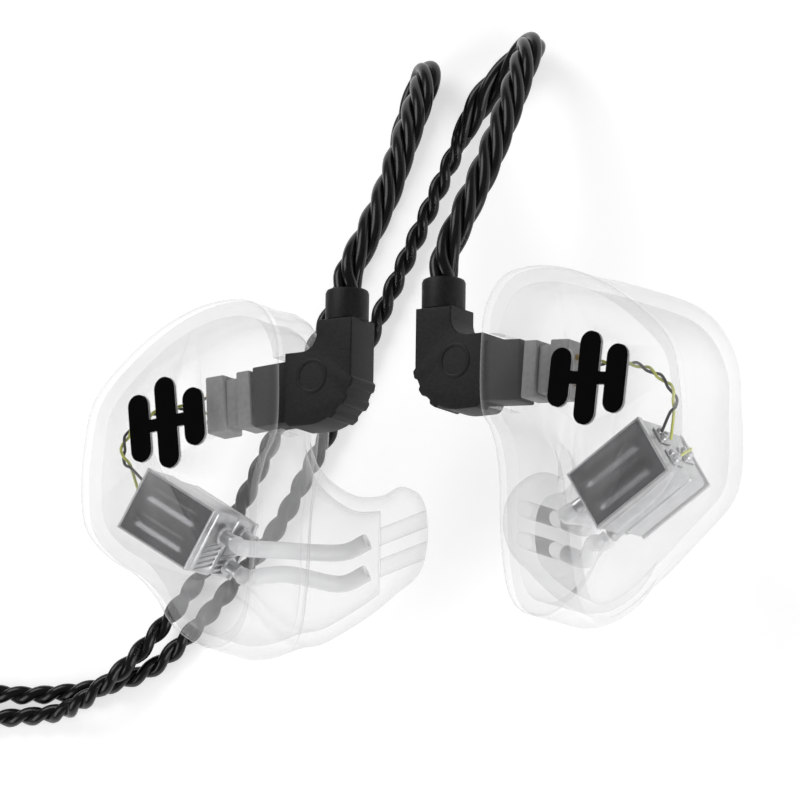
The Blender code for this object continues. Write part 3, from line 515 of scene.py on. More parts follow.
def leg_path(side):
    """The ear hook's end, the leg on the table, its coil and the tail into the splitter."""
    base = LEG_COIL_BASES[side]
    plan = [(turns, radius, height + base) for turns, radius, height in LEG_COIL_PLAN]
    coil = coil_points(LEG_COIL_CENTRE, -90, plan, LEG_TURN_POINTS)
    route = [Vector(HOOK_ROUTES[side][-1])] + [Vector(p) for p in LEG_ROUTES[side]]
    tail = [Vector(p) for p in LEG_TAILS[side]]
    tail.append(tail[-1] + Vector((-END_REACH, 0, 0)))
    return joined_path(route, coil, tail, LEG_DIAMETER * 0.18)


def trunk_path():
    """From inside the splitter, round the coil and into the jack's relief."""
    coil = coil_points(TRUNK_COIL_CENTRE, 180, trunk_coil_plan(), TRUNK_TURN_POINTS)
    route, tail = [Vector(p) for p in TRUNK_ROUTE], [Vector(p) for p in TRUNK_TAIL]
    route.insert(0, route[0] + Vector((END_REACH, 0, 0)))
    tail.append(tail[-1] + Vector((END_REACH, 0, 0)))
    return joined_path(route, coil, tail, TRUNK_DIAMETER * 0.2)


def add_cord(name, rope):
    """name is the start of its CAD nodes' names."""
    nodes = [f"{name}_{part}" for part in ("cable", "coil", "tail")]
    cord = add_piece(name + "_rope", rope, "black_cable", "cable", replaced=nodes, sharp=ROPE_EDGE)


def add_cords():
    """Two-strand legs and a four-strand trunk."""
    for side, length in LEG_LENGTHS.items():
        path = leg_path(side)
        rope = rope_bm(path, 2, LEG_STRAND, LEG_STRAND_OFFSET, LEG_PITCH)
        add_cord(side + "_leg", rope)
    path = trunk_path()
    rope = rope_bm(path, 4, TRUNK_STRAND, TRUNK_STRAND * math.sqrt(2), TRUNK_PITCH, 8)
    add_cord("trunk", rope)


def add_hooks():
    """Each ear hook: four strands, laid tight, from inside the collar until they thin into the leg."""
    for side, sign in SIGNS.items():
        path = smooth_route([mirrored(HOOK_INNER_END, sign)] + HOOK_ROUTES[side] + LEG_ROUTES[side][:2], 0.3)
        spacing = (path[1] - path[0]).length
        left = [(len(path) - 1 - i) * spacing for i in range(len(path))]
        scales = [HOOK_THINNEST + (1 - HOOK_THINNEST) * smoothstep(rest / HOOK_TAPER) for rest in left]
        rope = rope_bm(path, 4, HOOK_STRAND, HOOK_DIAMETER / 2 - HOOK_STRAND, HOOK_PITCH, 16, scales)
        add_piece(side + "_ear_hook_rope", rope, "black_cable", "cable", replaced=[side + "_ear_hook"],
                  sharp=ROPE_EDGE)


# -------- splitter, slider and jack

SPLITTER_SPAN = (-113.0, -101.0)
SPLITTER_Y = -19.0
SPLITTER_EDGE = 0.95
SPLITTER_GROOVES = (-3.4, 3.4)  # from its middle
SLIDER_SPAN = (-98.5, -91.0)
SLIDER_EDGE = 0.65
SLIDER_GROOVES = range(-2, 3)
SLIDER_GROOVE_MARGIN = 1.1  # what each groove leaves plain at its ends
SPLITTER_GROOVE = (0.18, 0.2)  # half width and depth
SLIDER_GROOVE = (0.16, 0.18)
SLOT_EDGE = 0.3
JACK_START = -91.0
RING_PLACES = (23.1, 30.75, 33.45)  # the jack's insulating rings, from its start
RING_HALF_WIDTH = 0.14
RING_RADII = (1.3, 1.68)


def add_splitter():
    width, height, middle = 4.9, 3.7, 1.9
    low = (SPLITTER_SPAN[0], SPLITTER_Y - width / 2, middle - height / 2)
    high = (SPLITTER_SPAN[1], SPLITTER_Y + width / 2, middle + height / 2)
    splitter = add_piece("splitter_body", block_bm(low, high, SPLITTER_EDGE, segments=5), "black_moulding",
                         "cable", replaced=["cable_splitter"])
    half, depth = SPLITTER_GROOVE
    grooves = []
    for offset in SPLITTER_GROOVES:
        x = sum(SPLITTER_SPAN) / 2 + offset
        grooves.append(block_bm((x - half, low[1] - 1, high[2] - depth),
                                (x + half, high[1] + 1, high[2] + 1)))
    return carve(splitter, grooves)


def add_slider():
    width, height, slot_width, slot_height = 6.4, 3.0, 4.3, 2.1
    low = (SLIDER_SPAN[0], SPLITTER_Y - width / 2, 0)
    high = (SLIDER_SPAN[1], SPLITTER_Y + width / 2, height)
    slider = add_piece("slider_bead", block_bm(low, high, SLIDER_EDGE, segments=5), "black_moulding",
                       "slider", replaced=["chin_slider"])
    cutters = [block_bm((low[0] - 1, SPLITTER_Y - slot_width / 2, height / 2 - slot_height / 2),
                        (high[0] + 1, SPLITTER_Y + slot_width / 2, height / 2 + slot_height / 2), SLOT_EDGE)]
    half, depth = SLIDER_GROOVE
    for offset in SLIDER_GROOVES:
        x = sum(SLIDER_SPAN) / 2 + offset
        cutters.append(block_bm((x - half, low[1] + SLIDER_GROOVE_MARGIN, height - depth),
                                (x + half, high[1] - SLIDER_GROOVE_MARGIN, height + 1)))
    carve(slider, cutters)


def ribbed(start, end, low, high, ribs, depth):
    """A tapered profile with round grooves cut into it."""
    profile = []
    for k in range(ribs * 4 + 1):
        share = k / (ribs * 4)
        groove = depth if k % 4 == 2 else 0.0
        profile.append((start + (end - start) * share, low + (high - low) * share - groove))
    return profile


def add_jack():
    """A straight three-pole 3.5 mm plug with its relief, housing and insulating rings."""
    turn = aim(Vector((JACK_START, JACK_Y, JACK_Z)), (1, 0, 0))
    profiles = {  # (distance from the jack's start, radius); the relief ends in a neck
        "relief": ([(0.0, 1.3), (0.3, 1.6)] + ribbed(0.6, 7.4, 1.75, 2.55, 5, 0.22)
                   + [(7.7, 2.5), (7.7, 1.7), (8.05, 1.7)], "black_moulding"),
        "housing": ([(8.0, 2.9), (8.2, 3.4), (8.7, 3.85), (9.5, 3.98)] + ribbed(13.2, 19.0, 4.0, 4.0, 8, 0.16)
                    + [(20.8, 3.88), (22.3, 3.6), (22.8, 3.4), (23.0, 3.1)], "black_moulding"),
        "sleeve": ([(23.3, 1.6), (23.4, 1.75), (30.5, 1.75), (30.6, 1.65)], "gold_contact"),
        "ring": ([(30.9, 1.65), (31.0, 1.75), (33.2, 1.75), (33.3, 1.65)], "gold_contact"),
        "tip": ([(33.6, 1.65), (33.7, 1.75), (34.1, 1.7), (34.6, 1.35), (35.0, 1.2), (35.3, 1.4),
                 (35.6, 1.72), (35.9, 1.7), (36.6, 1.2), (37.2, 0.65), (37.45, 0.3), (37.5, 0.12)],
                "gold_contact")}
    pieces = []
    for name, (profile, finish) in profiles.items():
        pieces.append(add_piece("plug_" + name, turned_bm(profile, turn), finish, "cable",
                                replaced=["jack_" + name]))
    inner, outer = RING_RADII
    for i, at in enumerate(RING_PLACES):
        near, far = at - RING_HALF_WIDTH, at + RING_HALF_WIDTH
        ring = [(near, inner), (near, outer), (far, outer), (far, inner)]
        pieces.append(add_piece(f"plug_insulator_{i}", turned_bm(ring, turn), "black_moulding", "cable"))
    return pieces


# -------- the monitors

FACE_TOP = 18.0
FACE_THICKNESS = 1.2
GAP = 0.3
SHELL_TOP = FACE_TOP - FACE_THICKNESS - GAP
WALL = 1.25
OUTLINE_CENTRE = (20.0, -6.0)
OUTLINE_SAMPLES = 96
FACE_OUTLINE = [  # the faceplate's edge, anticlockwise from its outer side
    (28.2, -3.0), (27.1, 1.0), (23.3, 4.6), (19.3, 6.9), (15.4, 7.9), (12.0, 7.5), (10.3, 5.4),
    (9.8, 2.9), (9.8, -3.0), (10.9, -5.4), (11.6, -8.6), (11.9, -14.6), (13.0, -19.4), (15.9, -20.7),
    (19.2, -18.8), (20.8, -16.4), (22.8, -14.3), (25.6, -12.5), (27.8, -10.1), (28.4, -7.0)]
BODY_SECTIONS = [  # centre, tilt, width, height, share of oval, oval's half sizes, top bulge
    ((20.0, -6.0, SHELL_TOP), 0, 1.00, 1.00, 0.0, (1, 1), 0.0),
    ((20.1, -6.0, 13.2), 0, 0.99, 1.00, 0.0, (1, 1), 0.8),
    ((20.1, -5.9, 10.0), 2, 0.99, 1.00, 0.0, (1, 1), 1.6),
    ((19.7, -6.2, 7.3), 9, 0.94, 0.94, 0.0, (1, 1), 1.1),
    ((18.4, -7.1, 5.9), 20, 0.78, 0.86, 0.1, (7.0, 12.0), 0.4),
    ((16.4, -9.2, 5.7), 33, 0.60, 0.75, 0.5, (5.2, 9.8), 0.0),
    ((13.6, -11.4, 5.1), 44, 0.50, 0.60, 1.0, (4.1, 7.4), 0.0),
    ((10.8, -11.9, 4.25), 51, 0.50, 0.60, 1.0, (3.5, 5.6), 0.0),
    ((8.5, -11.2, 3.45), 54, 0.50, 0.60, 1.0, (3.2, 4.7), 0.0),
    ((7.0, -10.2, 2.95), 55, 0.50, 0.60, 1.0, (3.05, 4.4), 0.0),
    ((5.7, -9.9, 2.6), 55, 0.50, 0.60, 1.0, (2.7, 3.7), 0.0),
    ((5.0, -9.8, 2.45), 55, 0.50, 0.60, 1.0, (2.05, 2.8), 0.0),
    ((4.6, -9.8, 2.35), 55, 0.50, 0.60, 1.0, (1.1, 1.6), 0.0)]
CAVITY_SECTIONS = 9
SOUND_BORE = 1.4
SOUND_BORE_SPREAD = 1.3
BULGE_AT = math.radians(58)
BULGE_SPREAD = math.radians(24)
RING_STEPS = 5
MARK_CENTRE = (20.0, -1.8)
MARK_DEPTH = 0.35
MARK_CLEARANCE = 0.05
MARK_BAR_WIDTH = 1.9
MARK_BAR_PITCH = 2.62
MARK_BAR_HEIGHTS = (4.8, 7.6, 5.6)
MARK_LINE_HEIGHT = 1.0
MARK_TURN = math.radians(-6)
PIN_TURN = math.radians(-3.5)
PIN_PIVOT = Vector((10, 0, 0))
POCKET = ((9.0, -3.0, 13.35), (14.0, 3.0, FACE_TOP))  # the plug's opening in the shell
ROUND_SIDES = 24  # sides of small round pieces


def ring_outline():
    """The faceplate's smooth edge, sampled at even angles round its centre."""
    closed = FACE_OUTLINE + FACE_OUTLINE[:3]
    fine = between_knots([Vector((x - OUTLINE_CENTRE[0], y - OUTLINE_CENTRE[1])) for x, y in closed])
    fine.sort(key=lambda p: math.atan2(p.y, p.x) % math.tau)
    angles = [math.atan2(p.y, p.x) % math.tau for p in fine]
    samples = []
    for k in range(OUTLINE_SAMPLES):
        angle = math.tau * k / OUTLINE_SAMPLES
        after = next((i for i, a in enumerate(angles) if a > angle), 0)
        span = (angles[after] - angles[after - 1]) % math.tau
        share = ((angle - angles[after - 1]) % math.tau) / span
        radius = fine[after - 1].lerp(fine[after], share).length
        samples.append((radius * math.cos(angle), radius * math.sin(angle)))
    return samples


OUTLINE = ring_outline()


def section_ring(section, inset=0.0):
    centre, degrees, width, height, oval, half, bulge = section
    tilt = math.radians(degrees)
    across = Vector((math.cos(tilt), 0, -math.sin(tilt)))
    up = Vector((0, 1, 0))
    ring = []
    for x, y in OUTLINE:
        angle = math.atan2(y, x)
        offset = (angle - BULGE_AT) / BULGE_SPREAD
        swell = 1 + bulge * math.exp(-offset * offset) / math.hypot(x, y)
        u = (1 - oval) * x * width * swell + oval * half[0] * math.cos(angle)
        v = (1 - oval) * y * height * swell + oval * half[1] * math.sin(angle)
        shrink = 1 - inset / math.hypot(u, v)
        ring.append(Vector(centre) + across * u * shrink + up * v * shrink)
    return ring


def between_rings(rings):
    """More rings between the drawn ones, on a smooth curve through each row of points."""
    ends = [rings[0]] + rings + [rings[-1]]
    fine = []
    for before, a, b, after in zip(ends, ends[1:], ends[2:], ends[3:]):
        for step in range(RING_STEPS):
            fine.append([catmull(*four, step / RING_STEPS) for four in zip(before, a, b, after)])
    return fine + [rings[-1]]


def pin_turn():
    return Matrix.Translation(PIN_PIVOT) @ Matrix.Rotation(PIN_TURN, 4, "Z") @ Matrix.Translation(-PIN_PIVOT)


def canal_bores():
    inside = Vector(BODY_SECTIONS[CAVITY_SECTIONS - 1][0])
    outside = Vector(BODY_SECTIONS[-1][0])
    run = (outside - inside).normalized()
    offsets = [Vector((0, SOUND_BORE_SPREAD * s, 0)) for s in (1, -1)]
    return [(inside - run * 0.6 + o, outside + run + o) for o in offsets]


def rod_bm(start, end, radius):
    run = end - start
    return turned_bm([(0, radius), (run.length, radius)], aim(start, run), ROUND_SIDES)


def add_shell(name, sign, body):
    outer = between_rings([section_ring(s) for s in BODY_SECTIONS])
    inner = between_rings([section_ring(s, WALL) for s in BODY_SECTIONS[:CAVITY_SECTIONS]])
    shell = add_piece(name + "_clear_shell", loft_bm(inner[::-1] + outer), "clear_acrylic", body, sign,
                      [name + "_shell"], SOFT_EDGE)
    cutters = [block_bm(*POCKET, turn=pin_turn())]
    cutters += [rod_bm(*bore, SOUND_BORE / 2) for bore in canal_bores()]
    carve(shell, cutters, sign)


def mark_outline(grow):
    half = MARK_BAR_WIDTH / 2 + grow
    line = MARK_LINE_HEIGHT / 2 + grow
    bars = [((i - 1) * MARK_BAR_PITCH, height / 2) for i, height in enumerate(MARK_BAR_HEIGHTS)]
    upper = []
    for x, reach in reversed(bars):
        ends = [math.radians(15 * k) for k in range(13)]
        upper.append((x + half, line))
        upper += [(x + half * math.cos(a), reach - MARK_BAR_WIDTH / 2 + half * math.sin(a)) for a in ends]
        upper.append((x - half, line))
    points = upper + [(x, -y) for x, y in reversed(upper)]
    cosine, sine = math.cos(MARK_TURN), math.sin(MARK_TURN)
    return [(MARK_CENTRE[0] + x * cosine - y * sine, MARK_CENTRE[1] + x * sine + y * cosine)
            for x, y in points]


def add_faceplate(name, sign, body):
    outline = [(OUTLINE_CENTRE[0] + x, OUTLINE_CENTRE[1] + y) for x, y in OUTLINE]
    plate = add_piece(name + "_clear_faceplate", slab_bm(outline, FACE_TOP - FACE_THICKNESS, FACE_TOP, 0.5),
                      "clear_acrylic", body, sign, [name + "_faceplate"], SOFT_EDGE)
    levels = (FACE_TOP - MARK_DEPTH - MARK_CLEARANCE, FACE_TOP + 1)
    recess = [[(x, y, z) for x, y in mark_outline(MARK_CLEARANCE)] for z in levels]
    carve(plate, [loft_bm(recess)], sign)
    mark = [[(x, y, z) for x, y in mark_outline(0)] for z in (FACE_TOP - MARK_DEPTH, FACE_TOP)]
    add_piece(name + "_printed_mark", loft_bm(mark), "black_print", body, sign, [name + "_faceplate_mark"])


# -------- plug and socket

PIN_Z = 15.1
SOCKET_STEPS = {"near_flange": (12.95, 14.25, 4.7, 2.7), "neck": (14.25, 15.45, 3.9, 2.1),
                "far_flange": (15.45, 17.2, 4.7, 2.7)}
PIN_OFFSETS = {"upper": 1.05, "lower": -1.05}
PIN_RADIUS = 0.39
BORE_RADIUS = 0.6
PIN_SPAN = (11.9, 16.4)
SOCKET_BORE_END = 16.7
SOCKET_TAIL = (17.2, 17.9, 0.25)  # where each starts and ends, and its radius
LEG_INNER = 3.05
LEG_OUTER = 6.4
LEG_TOP = 5.6
ARM_END = 9.4
ARM_HALF_HEIGHT = 3.1
HOUSING_DEPTH = 3.6
NOSE_END = 12.65
NOSE_SIZE = (5.0, 2.8)
ELBOW_RADIUS = 4.1
ELBOW_CENTRE = (7.15, 1.1)
RIDGES = (192, 214, 236)
RIDGE_HEIGHT = 0.24
RIDGE_HALF_WIDTH = 5.5
FILLET_RADIUS = 1.5
BADGE_CENTRE = (6.8, 1.0)
COLLAR = (4.6, 5.55, 8.2, 1.78)  # x, start, end, radius
CORNER_RADIUS = 0.8
MOULDED_EDGE = 0.14
NOSE_EDGE = 0.16


def on_pin_line(x, offset):
    return pin_turn() @ Vector((x, offset, PIN_Z))


def add_socket(name, sign, body):
    for part, (start, end, height, thickness) in SOCKET_STEPS.items():
        low = (start, -height / 2, PIN_Z - thickness / 2)
        high = (end, height / 2, PIN_Z + thickness / 2)
        replaced = [name + "_socket"] if part == "near_flange" else []
        block = add_piece(f"{name}_socket_{part}", block_bm(low, high, MOULDED_EDGE, pin_turn()),
                          "grey_moulding", body, sign, replaced)
        near = SOCKET_STEPS["near_flange"][0] - 1
        bores = [rod_bm(on_pin_line(near, offset), on_pin_line(SOCKET_BORE_END, offset), BORE_RADIUS)
                 for offset in PIN_OFFSETS.values()]
        carve(block, bores, sign)
    start, end, radius = SOCKET_TAIL
    for part, offset in PIN_OFFSETS.items():
        rod = rod_bm(on_pin_line(start, offset), on_pin_line(end, offset), radius)
        add_piece(f"{name}_socket_tail_{part}", rod, "gold_contact", body, sign)


def around(centre, radius, degrees):
    angle = math.radians(degrees)
    return (centre[0] + radius * math.cos(angle), centre[1] + radius * math.sin(angle))


def housing_outline():
    """An upright leg, an inner fillet, an arm and an elbow with soft grip ridges."""
    points = [(LEG_INNER, LEG_TOP), (LEG_INNER, ELBOW_CENTRE[1] + 1.5)]
    for degrees in range(180, 271):
        near = min(abs(degrees - ridge) for ridge in RIDGES)
        lift = RIDGE_HEIGHT * smoothstep((RIDGE_HALF_WIDTH + 2 - near) / 4)
        points.append(around(ELBOW_CENTRE, ELBOW_RADIUS + lift, degrees))
    corner = (ARM_END - CORNER_RADIUS, ELBOW_CENTRE[1] - ELBOW_RADIUS + CORNER_RADIUS)
    points += [around(corner, CORNER_RADIUS, degrees) for degrees in range(280, 361, 10)]
    points.append((ARM_END, ARM_HALF_HEIGHT))
    centre = (LEG_OUTER + FILLET_RADIUS, ARM_HALF_HEIGHT + FILLET_RADIUS)
    points += [around(centre, FILLET_RADIUS, degrees) for degrees in range(270, 179, -6)]
    points.append((LEG_OUTER, LEG_TOP))
    return points


def add_plug(name, sign):
    low, high = PIN_Z - HOUSING_DEPTH / 2, PIN_Z + HOUSING_DEPTH / 2
    add_piece(name + "_elbow_housing", slab_bm(housing_outline(), low, high, MOULDED_EDGE), "black_moulding",
              "cable", sign, [name + "_plug_housing"], SOFT_EDGE)
    height, thickness = NOSE_SIZE
    nose = block_bm((ARM_END - 0.02, -height / 2, PIN_Z - thickness / 2),
                    (NOSE_END, height / 2, PIN_Z + thickness / 2), NOSE_EDGE, pin_turn())
    add_piece(name + "_elbow_nose", nose, "black_moulding", "cable", sign)
    section = [(-0.1, 1.1), (0.03, 1.13), (0.06, 1.2), (0.06, 1.4), (0.03, 1.47), (-0.1, 1.5)]
    rings = [[(*around(BADGE_CENTRE, radius, 7.5 * k), high + z) for k in range(48)] for z, radius in section]
    add_piece(name + "_elbow_ring", closed_loft_bm(rings), "black_moulding", "cable", sign)
    for part, offset in PIN_OFFSETS.items():
        turn = pin_turn() @ aim(Vector((PIN_SPAN[0], offset, PIN_Z)), (1, 0, 0))
        length = PIN_SPAN[1] - PIN_SPAN[0]
        tip = [(0, PIN_RADIUS), (length - 0.35, PIN_RADIUS), (length - 0.15, 0.32), (length, 0.12)]
        add_piece(f"{name}_pin_{part}", turned_bm(tip, turn, ROUND_SIDES), "gold_contact", "cable", sign,
                  [f"{name}_plug_pin_{part}"])
    x, start, end, radius = COLLAR
    turn = aim(Vector((x, start, PIN_Z)), (0, 1, 0))
    length = end - start
    profile = [(0, radius - 0.12), (0.1, radius), (length - 0.35, radius), (length - 0.1, radius - 0.1),
               (length, radius - 0.3)]
    add_piece(name + "_collar", turned_bm(profile, turn), "black_moulding", "cable", sign,
              [name + "_plug_collar"])


# -------- driver pack

DRIVER_CENTRE = (21.45, -9.25)
DRIVER_TURN = math.radians(32)
LOW_CAN = (7.8, 5.5, 14.95, 11.75, 15.6, 15.25)  # length, width, top, bottom, lid top, lid bottom
HIGH_CAN = (7.3, 5.2, 11.45, 9.0, 8.7, 8.35)
SPOUT_LENGTH = 1.3
TUBE_DIAMETER = 1.4
TUBE_BORE_RADIUS = 0.4
LOW_TUBE_BEND = (15.1, -11.3, 8.9)
HIGH_TUBE_BEND = (14.6, -13.2, 7.9)
GROOVE_DEPTH = 0.08
CAN_EDGE = 0.32
LOUVRE = ((-0.3, -0.11, -1.1), (0.1, 0.11, 1.1))
LOUVRE_LEAN = 0.35
SOLDER = ((-0.36, 0.28, 0.34), (0.36, 0.3, 0.3), (0.02, -0.34, 0.36))  # across, up, radius
BASE_HALF = 0.75  # of the plate under each cluster of solder


def driver_turn():
    return Matrix.Translation((*DRIVER_CENTRE, 0)) @ Matrix.Rotation(DRIVER_TURN, 4, "Z")


def driver_block(length, width, bottom, top, edge):
    return block_bm((-length / 2, -width / 2, bottom), (length / 2, width / 2, top), edge, driver_turn())


def groove_at(x, y):
    """How deep the low driver's face is pressed in at a place: two long shallow grooves."""
    deep = 0.0
    for centre in (-1.15, 1.15):
        along = smoothstep((3.0 - abs(x)) / 0.7)
        deep = max(deep, along * smoothstep((0.75 - abs(y - centre)) / 0.6))
    return GROOVE_DEPTH * deep


def face_bm(length, width, bottom, top):
    """The low driver's dark face: a closed slab whose top is a fine grid with pressed grooves."""
    across, along = 60, 44
    bm = bmesh.new()
    turn = driver_turn()
    grid = []
    for j in range(along + 1):
        row = []
        for i in range(across + 1):
            x = length * (i / across - 0.5)
            y = width * (j / along - 0.5)
            row.append(bm.verts.new(turn @ Vector((x, y, top - groove_at(x, y)))))
        grid.append(row)
    for j in range(along):
        for i in range(across):
            bm.faces.new((grid[j][i], grid[j][i + 1], grid[j + 1][i + 1], grid[j + 1][i]))
    edge = grid[0] + [row[-1] for row in grid[1:]] + grid[-1][-2::-1] + [row[0] for row in grid[-2:0:-1]]
    base = [bm.verts.new((v.co.x, v.co.y, bottom)) for v in edge]
    for i in range(len(edge)):
        j = (i + 1) % len(edge)
        bm.faces.new((edge[i], base[i], base[j], edge[j]))
    bm.faces.new(list(reversed(base)))
    return bm


def frame_bm(length, width, bottom, top, rim):
    """The thin bright edge round the dark face."""
    turn = driver_turn()
    section = ((0, bottom), (0, top - 0.06), (0.06, top), (rim - 0.04, top), (rim, top - 0.04), (rim, bottom))
    rings = []
    for inset, z in section:
        x, y = length / 2 - inset, width / 2 - inset
        rings.append([turn @ Vector(p) for p in ((-x, -y, z), (x, -y, z), (x, y, z), (-x, y, z))])
    return closed_loft_bm(rings)


def add_can(name, part, can, sign, body, grooves):
    length, width, top, bottom = can[:4]
    piece = add_piece(f"{name}_{part}_case", driver_block(length, width, bottom, top, CAN_EDGE),
                      "light_steel", body, sign, [f"{name}_{part}_can"], SOFT_EDGE)
    cutters = []
    for k in range(grooves):
        spot = Matrix.Translation((-length / 2, -2.0 + 0.5 * k, (top + bottom) / 2))
        cutters.append(block_bm(*LOUVRE, turn=driver_turn() @ spot @ Matrix.Rotation(LOUVRE_LEAN, 4, "X")))
    carve(piece, cutters, sign)


def add_terminals(name, part, can, sign, body, clusters):
    """Small base plates with solder on them, where the leads end."""
    middle = (can[2] + can[3]) / 2
    start = can[0] / 2 + 0.02
    turn = driver_turn()
    replaced = [f"{name}_{part}_terminals"]
    for k, offset in enumerate(clusters):
        base = block_bm((start, offset - BASE_HALF, middle - BASE_HALF),
                        (start + 0.16, offset + BASE_HALF, middle + BASE_HALF), 0.05, turn)
        for dy, dz, size in SOLDER:
            blob = bmesh.new()
            bmesh.ops.create_uvsphere(blob, u_segments=20, v_segments=12, radius=size)
            bmesh.ops.scale(blob, vec=(0.85, 1.0, 0.9), verts=blob.verts)
            spot = turn @ Vector((start + 0.28, offset + dy, middle + dz))
            bmesh.ops.transform(blob, matrix=Matrix.Translation(spot), verts=blob.verts)
            join_bm(base, blob)
        add_piece(f"{name}_{part}_solder_{k}", base, "light_steel", body, sign, replaced if k == 0 else [])


def add_spout(name, node, label, can, offset, height, sign, body):
    """A short open metal tube with a lip and a base plate."""
    start = -can[0] / 2 - GAP
    turn = driver_turn()
    near = turn @ Vector((start, offset, height))
    far = turn @ Vector((start - SPOUT_LENGTH, offset, height))
    length = (far - near).length
    profile = [(0.0, 0.8), (0.16, 0.8), (0.22, 0.58), (length - 0.35, 0.56), (length - 0.2, 0.62),
               (length, 0.6), (length, 0.4), (length - 0.9, 0.38)]
    add_piece(f"{name}_{label}", turned_bm(profile, aim(near, far - near)), "light_steel", body, sign,
              [f"{name}_{node}"])
    return far + (far - near).normalized() * GAP


def add_sound_tube(name, label, start, bend, end, sign, body):
    along = driver_turn().to_3x3() @ Vector((-1, 0, 0))
    run = (Vector(BODY_SECTIONS[-1][0]) - Vector(BODY_SECTIONS[CAVITY_SECTIONS - 1][0])).normalized()
    finish_at = end - run * 0.5
    points = smooth_route([start, start + along * 0.7, bend, finish_at - run * 2.5, finish_at], 0.35)
    angles = [math.tau * k / ROUND_SIDES for k in range(ROUND_SIDES)]
    outer, inner = [[[p + (s * math.cos(a) + u * math.sin(a)) * radius for a in angles]
                     for p, (s, u) in zip(points, carried_frames(points))]
                    for radius in (TUBE_DIAMETER / 2, TUBE_BORE_RADIUS)]
    # Hollow only near its ends, to keep down the number of clear walls in a row
    bm = loft_bm(inner[1::-1] + outer + inner[:-3:-1])
    add_piece(f"{name}_{label}_hose", bm, "soft_tube", body, sign, [f"{name}_{label}"])


def add_drivers(name, sign, body):
    low_middle = (LOW_CAN[2] + LOW_CAN[3]) / 2
    high_middle = (HIGH_CAN[2] + HIGH_CAN[3]) / 2
    add_can(name, "low_driver", LOW_CAN, sign, body, 5)
    add_can(name, "high_driver", HIGH_CAN, sign, body, 4)
    length, width, top, _, lid_top, lid_bottom = LOW_CAN
    add_piece(name + "_low_driver_face", face_bm(length - 0.44, width - 0.44, lid_bottom, lid_top - 0.06),
              "dark_steel", body, sign, [name + "_low_driver_lid"], SOFT_EDGE)
    add_piece(name + "_low_driver_rim", frame_bm(length, width, top + 0.02, lid_top, 0.2), "light_steel",
              body, sign)
    length, width, _, _, lid_top, lid_bottom = HIGH_CAN
    add_piece(name + "_high_driver_back", driver_block(length, width, lid_bottom, lid_top, 0.12),
              "light_steel", body, sign, [name + "_high_driver_lid"])
    add_terminals(name, "low_driver", LOW_CAN, sign, body, (1.1, -1.1))
    add_terminals(name, "high_driver", HIGH_CAN, sign, body, (0.0, ))
    low = add_spout(name, "low_driver_spout", "low_spout", LOW_CAN, 1.0, low_middle, sign, body)
    add_spout(name, "high_driver_spout_upper", "high_spout_upper", HIGH_CAN, 1.35, high_middle, sign, body)
    high = add_spout(name, "high_driver_spout_lower", "high_spout_lower", HIGH_CAN, -1.35, high_middle, sign,
                     body)
    (low_end, _), (high_end, _) = canal_bores()
    add_sound_tube(name, "low_sound_tube", low, LOW_TUBE_BEND, low_end, sign, body)
    add_sound_tube(name, "high_sound_tube", high, HIGH_TUBE_BEND, high_end, sign, body)


# -------- leads

LEAD_DIAMETER = 0.25
LEAD_TWIST_RADIUS = 0.17
LEAD_PITCH = 2.4
JUMPER_RADIUS = 0.13
LEAD_SPACING = 0.2
LEAD_ROUTE = [(18.6, -0.2, 15.3), (20.6, -0.2, 15.8), (22.3, -0.4, 15.8), (23.9, -0.9, 15.7),
              (25.3, -1.8, 15.4), (26.1, -2.8, 15.0), (26.2, -3.8, 14.6), (25.6, -4.7, 14.2)]
LEAD_STARTS = {"black": (17.6, 0.75, PIN_Z), "yellow": (17.6, -0.95, PIN_Z)}
LEAD_ENDS = {"black": (24.5, -5.9, 13.8), "yellow": (25.3, -6.6, 13.7)}


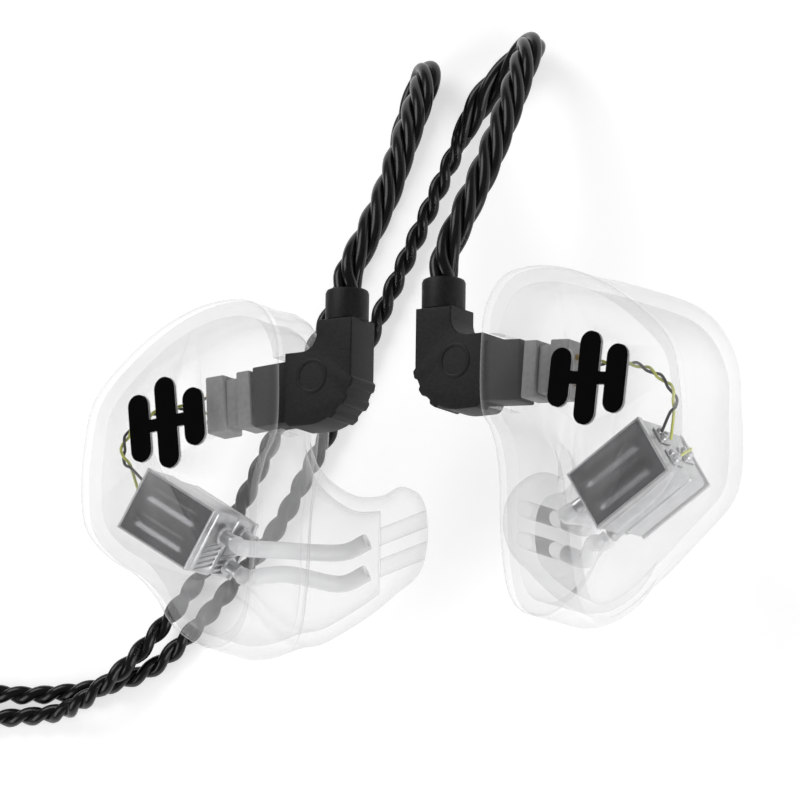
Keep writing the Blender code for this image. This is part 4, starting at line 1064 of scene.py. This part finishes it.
def add_leads(name, sign, body):
    """Two twisted leads from the socket to the low driver, and a jumper to the high one."""
    centre = smooth_route(LEAD_ROUTE, LEAD_SPACING)
    frames = carried_frames(centre)
    for phase, colour in ((0.5, "black"), (0.0, "yellow")):
        wire = [Vector(LEAD_STARTS[colour])]
        for i, (point, (side, up)) in enumerate(zip(centre, frames)):
            angle = math.tau * (phase + i * LEAD_SPACING / LEAD_PITCH)
            wire.append(point + (side * math.cos(angle) + up * math.sin(angle)) * LEAD_TWIST_RADIUS)
        wire.append(Vector(LEAD_ENDS[colour]))
        line = smooth_route(wire[::3] + [wire[-1]], 0.12)
        add_piece(f"{name}_wire_{colour}", sweep_bm(line, LEAD_DIAMETER / 2, 12), colour + "_lead", body,
                  sign, [f"{name}_lead_{colour}"], ROPE_EDGE)
    turn = driver_turn()
    top = turn @ Vector((LOW_CAN[0] / 2 + 0.5, -1.1, 13.0))
    end = turn @ Vector((HIGH_CAN[0] / 2 + 0.5, 0.0, 10.5))
    bow = turn @ Vector((LOW_CAN[0] / 2 + 1.1, -0.6, 11.8))
    jumper = sweep_bm(smooth_route([top, bow, end], 0.15), JUMPER_RADIUS, 12)
    add_piece(name + "_wire_jumper", jumper, "yellow_lead", body, sign, sharp=ROPE_EDGE)


# -------- stage and lights

def add_stage():
    bm = bmesh.new()
    bmesh.ops.create_grid(bm, x_segments=2, y_segments=2, size=2.0)
    mesh = bpy.data.meshes.new("floor")
    bm.to_mesh(mesh)
    bm.free()
    floor = bpy.data.objects.new("floor", mesh)
    floor.location.z = -0.00002
    table = new_material("floor_white", (0.6, 0.6, 0.6), 0.9, Emission_Color=(1, 1, 1, 1),
                         Emission_Strength=0.6)
    mesh.materials.append(table)
    bpy.context.scene.collection.objects.link(floor)
    bpy.context.scene.view_settings.view_transform = "Standard"
    world = bpy.data.worlds.new("studio")
    world.use_nodes = True
    world.node_tree.nodes["Background"].inputs["Color"].default_value = (1, 1, 1, 1)
    world.node_tree.nodes["Background"].inputs["Strength"].default_value = 0.22
    bpy.context.scene.world = world
    lights = {  # place, side of the square, watts
        "key": ((-160, 260, 300), 260, 0.85), "fill": ((330, -190, 120), 300, 1.1),
        "side": ((-300, -160, 200), 240, 0.5)}
    for name, (spot, size, power) in lights.items():
        data = bpy.data.lights.new(name, "AREA")
        data.size = size * MM
        data.energy = power
        light = bpy.data.objects.new(name, data)
        light.location = Vector(spot) * MM
        light.rotation_euler = (Vector(spot) - Vector(LOOK_AT)).to_track_quat("Z", "Y").to_euler()
        bpy.context.scene.collection.objects.link(light)


# -------- everything

splitter_piece = add_splitter()
jack = add_jack()
add_cords()
add_hooks()
add_slider()
for ear, sign in SIGNS.items():
    monitor = ear + "_monitor"
    add_shell(ear, sign, monitor)
    add_faceplate(ear, sign, monitor)
    add_socket(ear, sign, monitor)
    add_drivers(ear, sign, monitor)
    add_leads(ear, sign, monitor)
    add_plug(ear, sign)
add_stage()
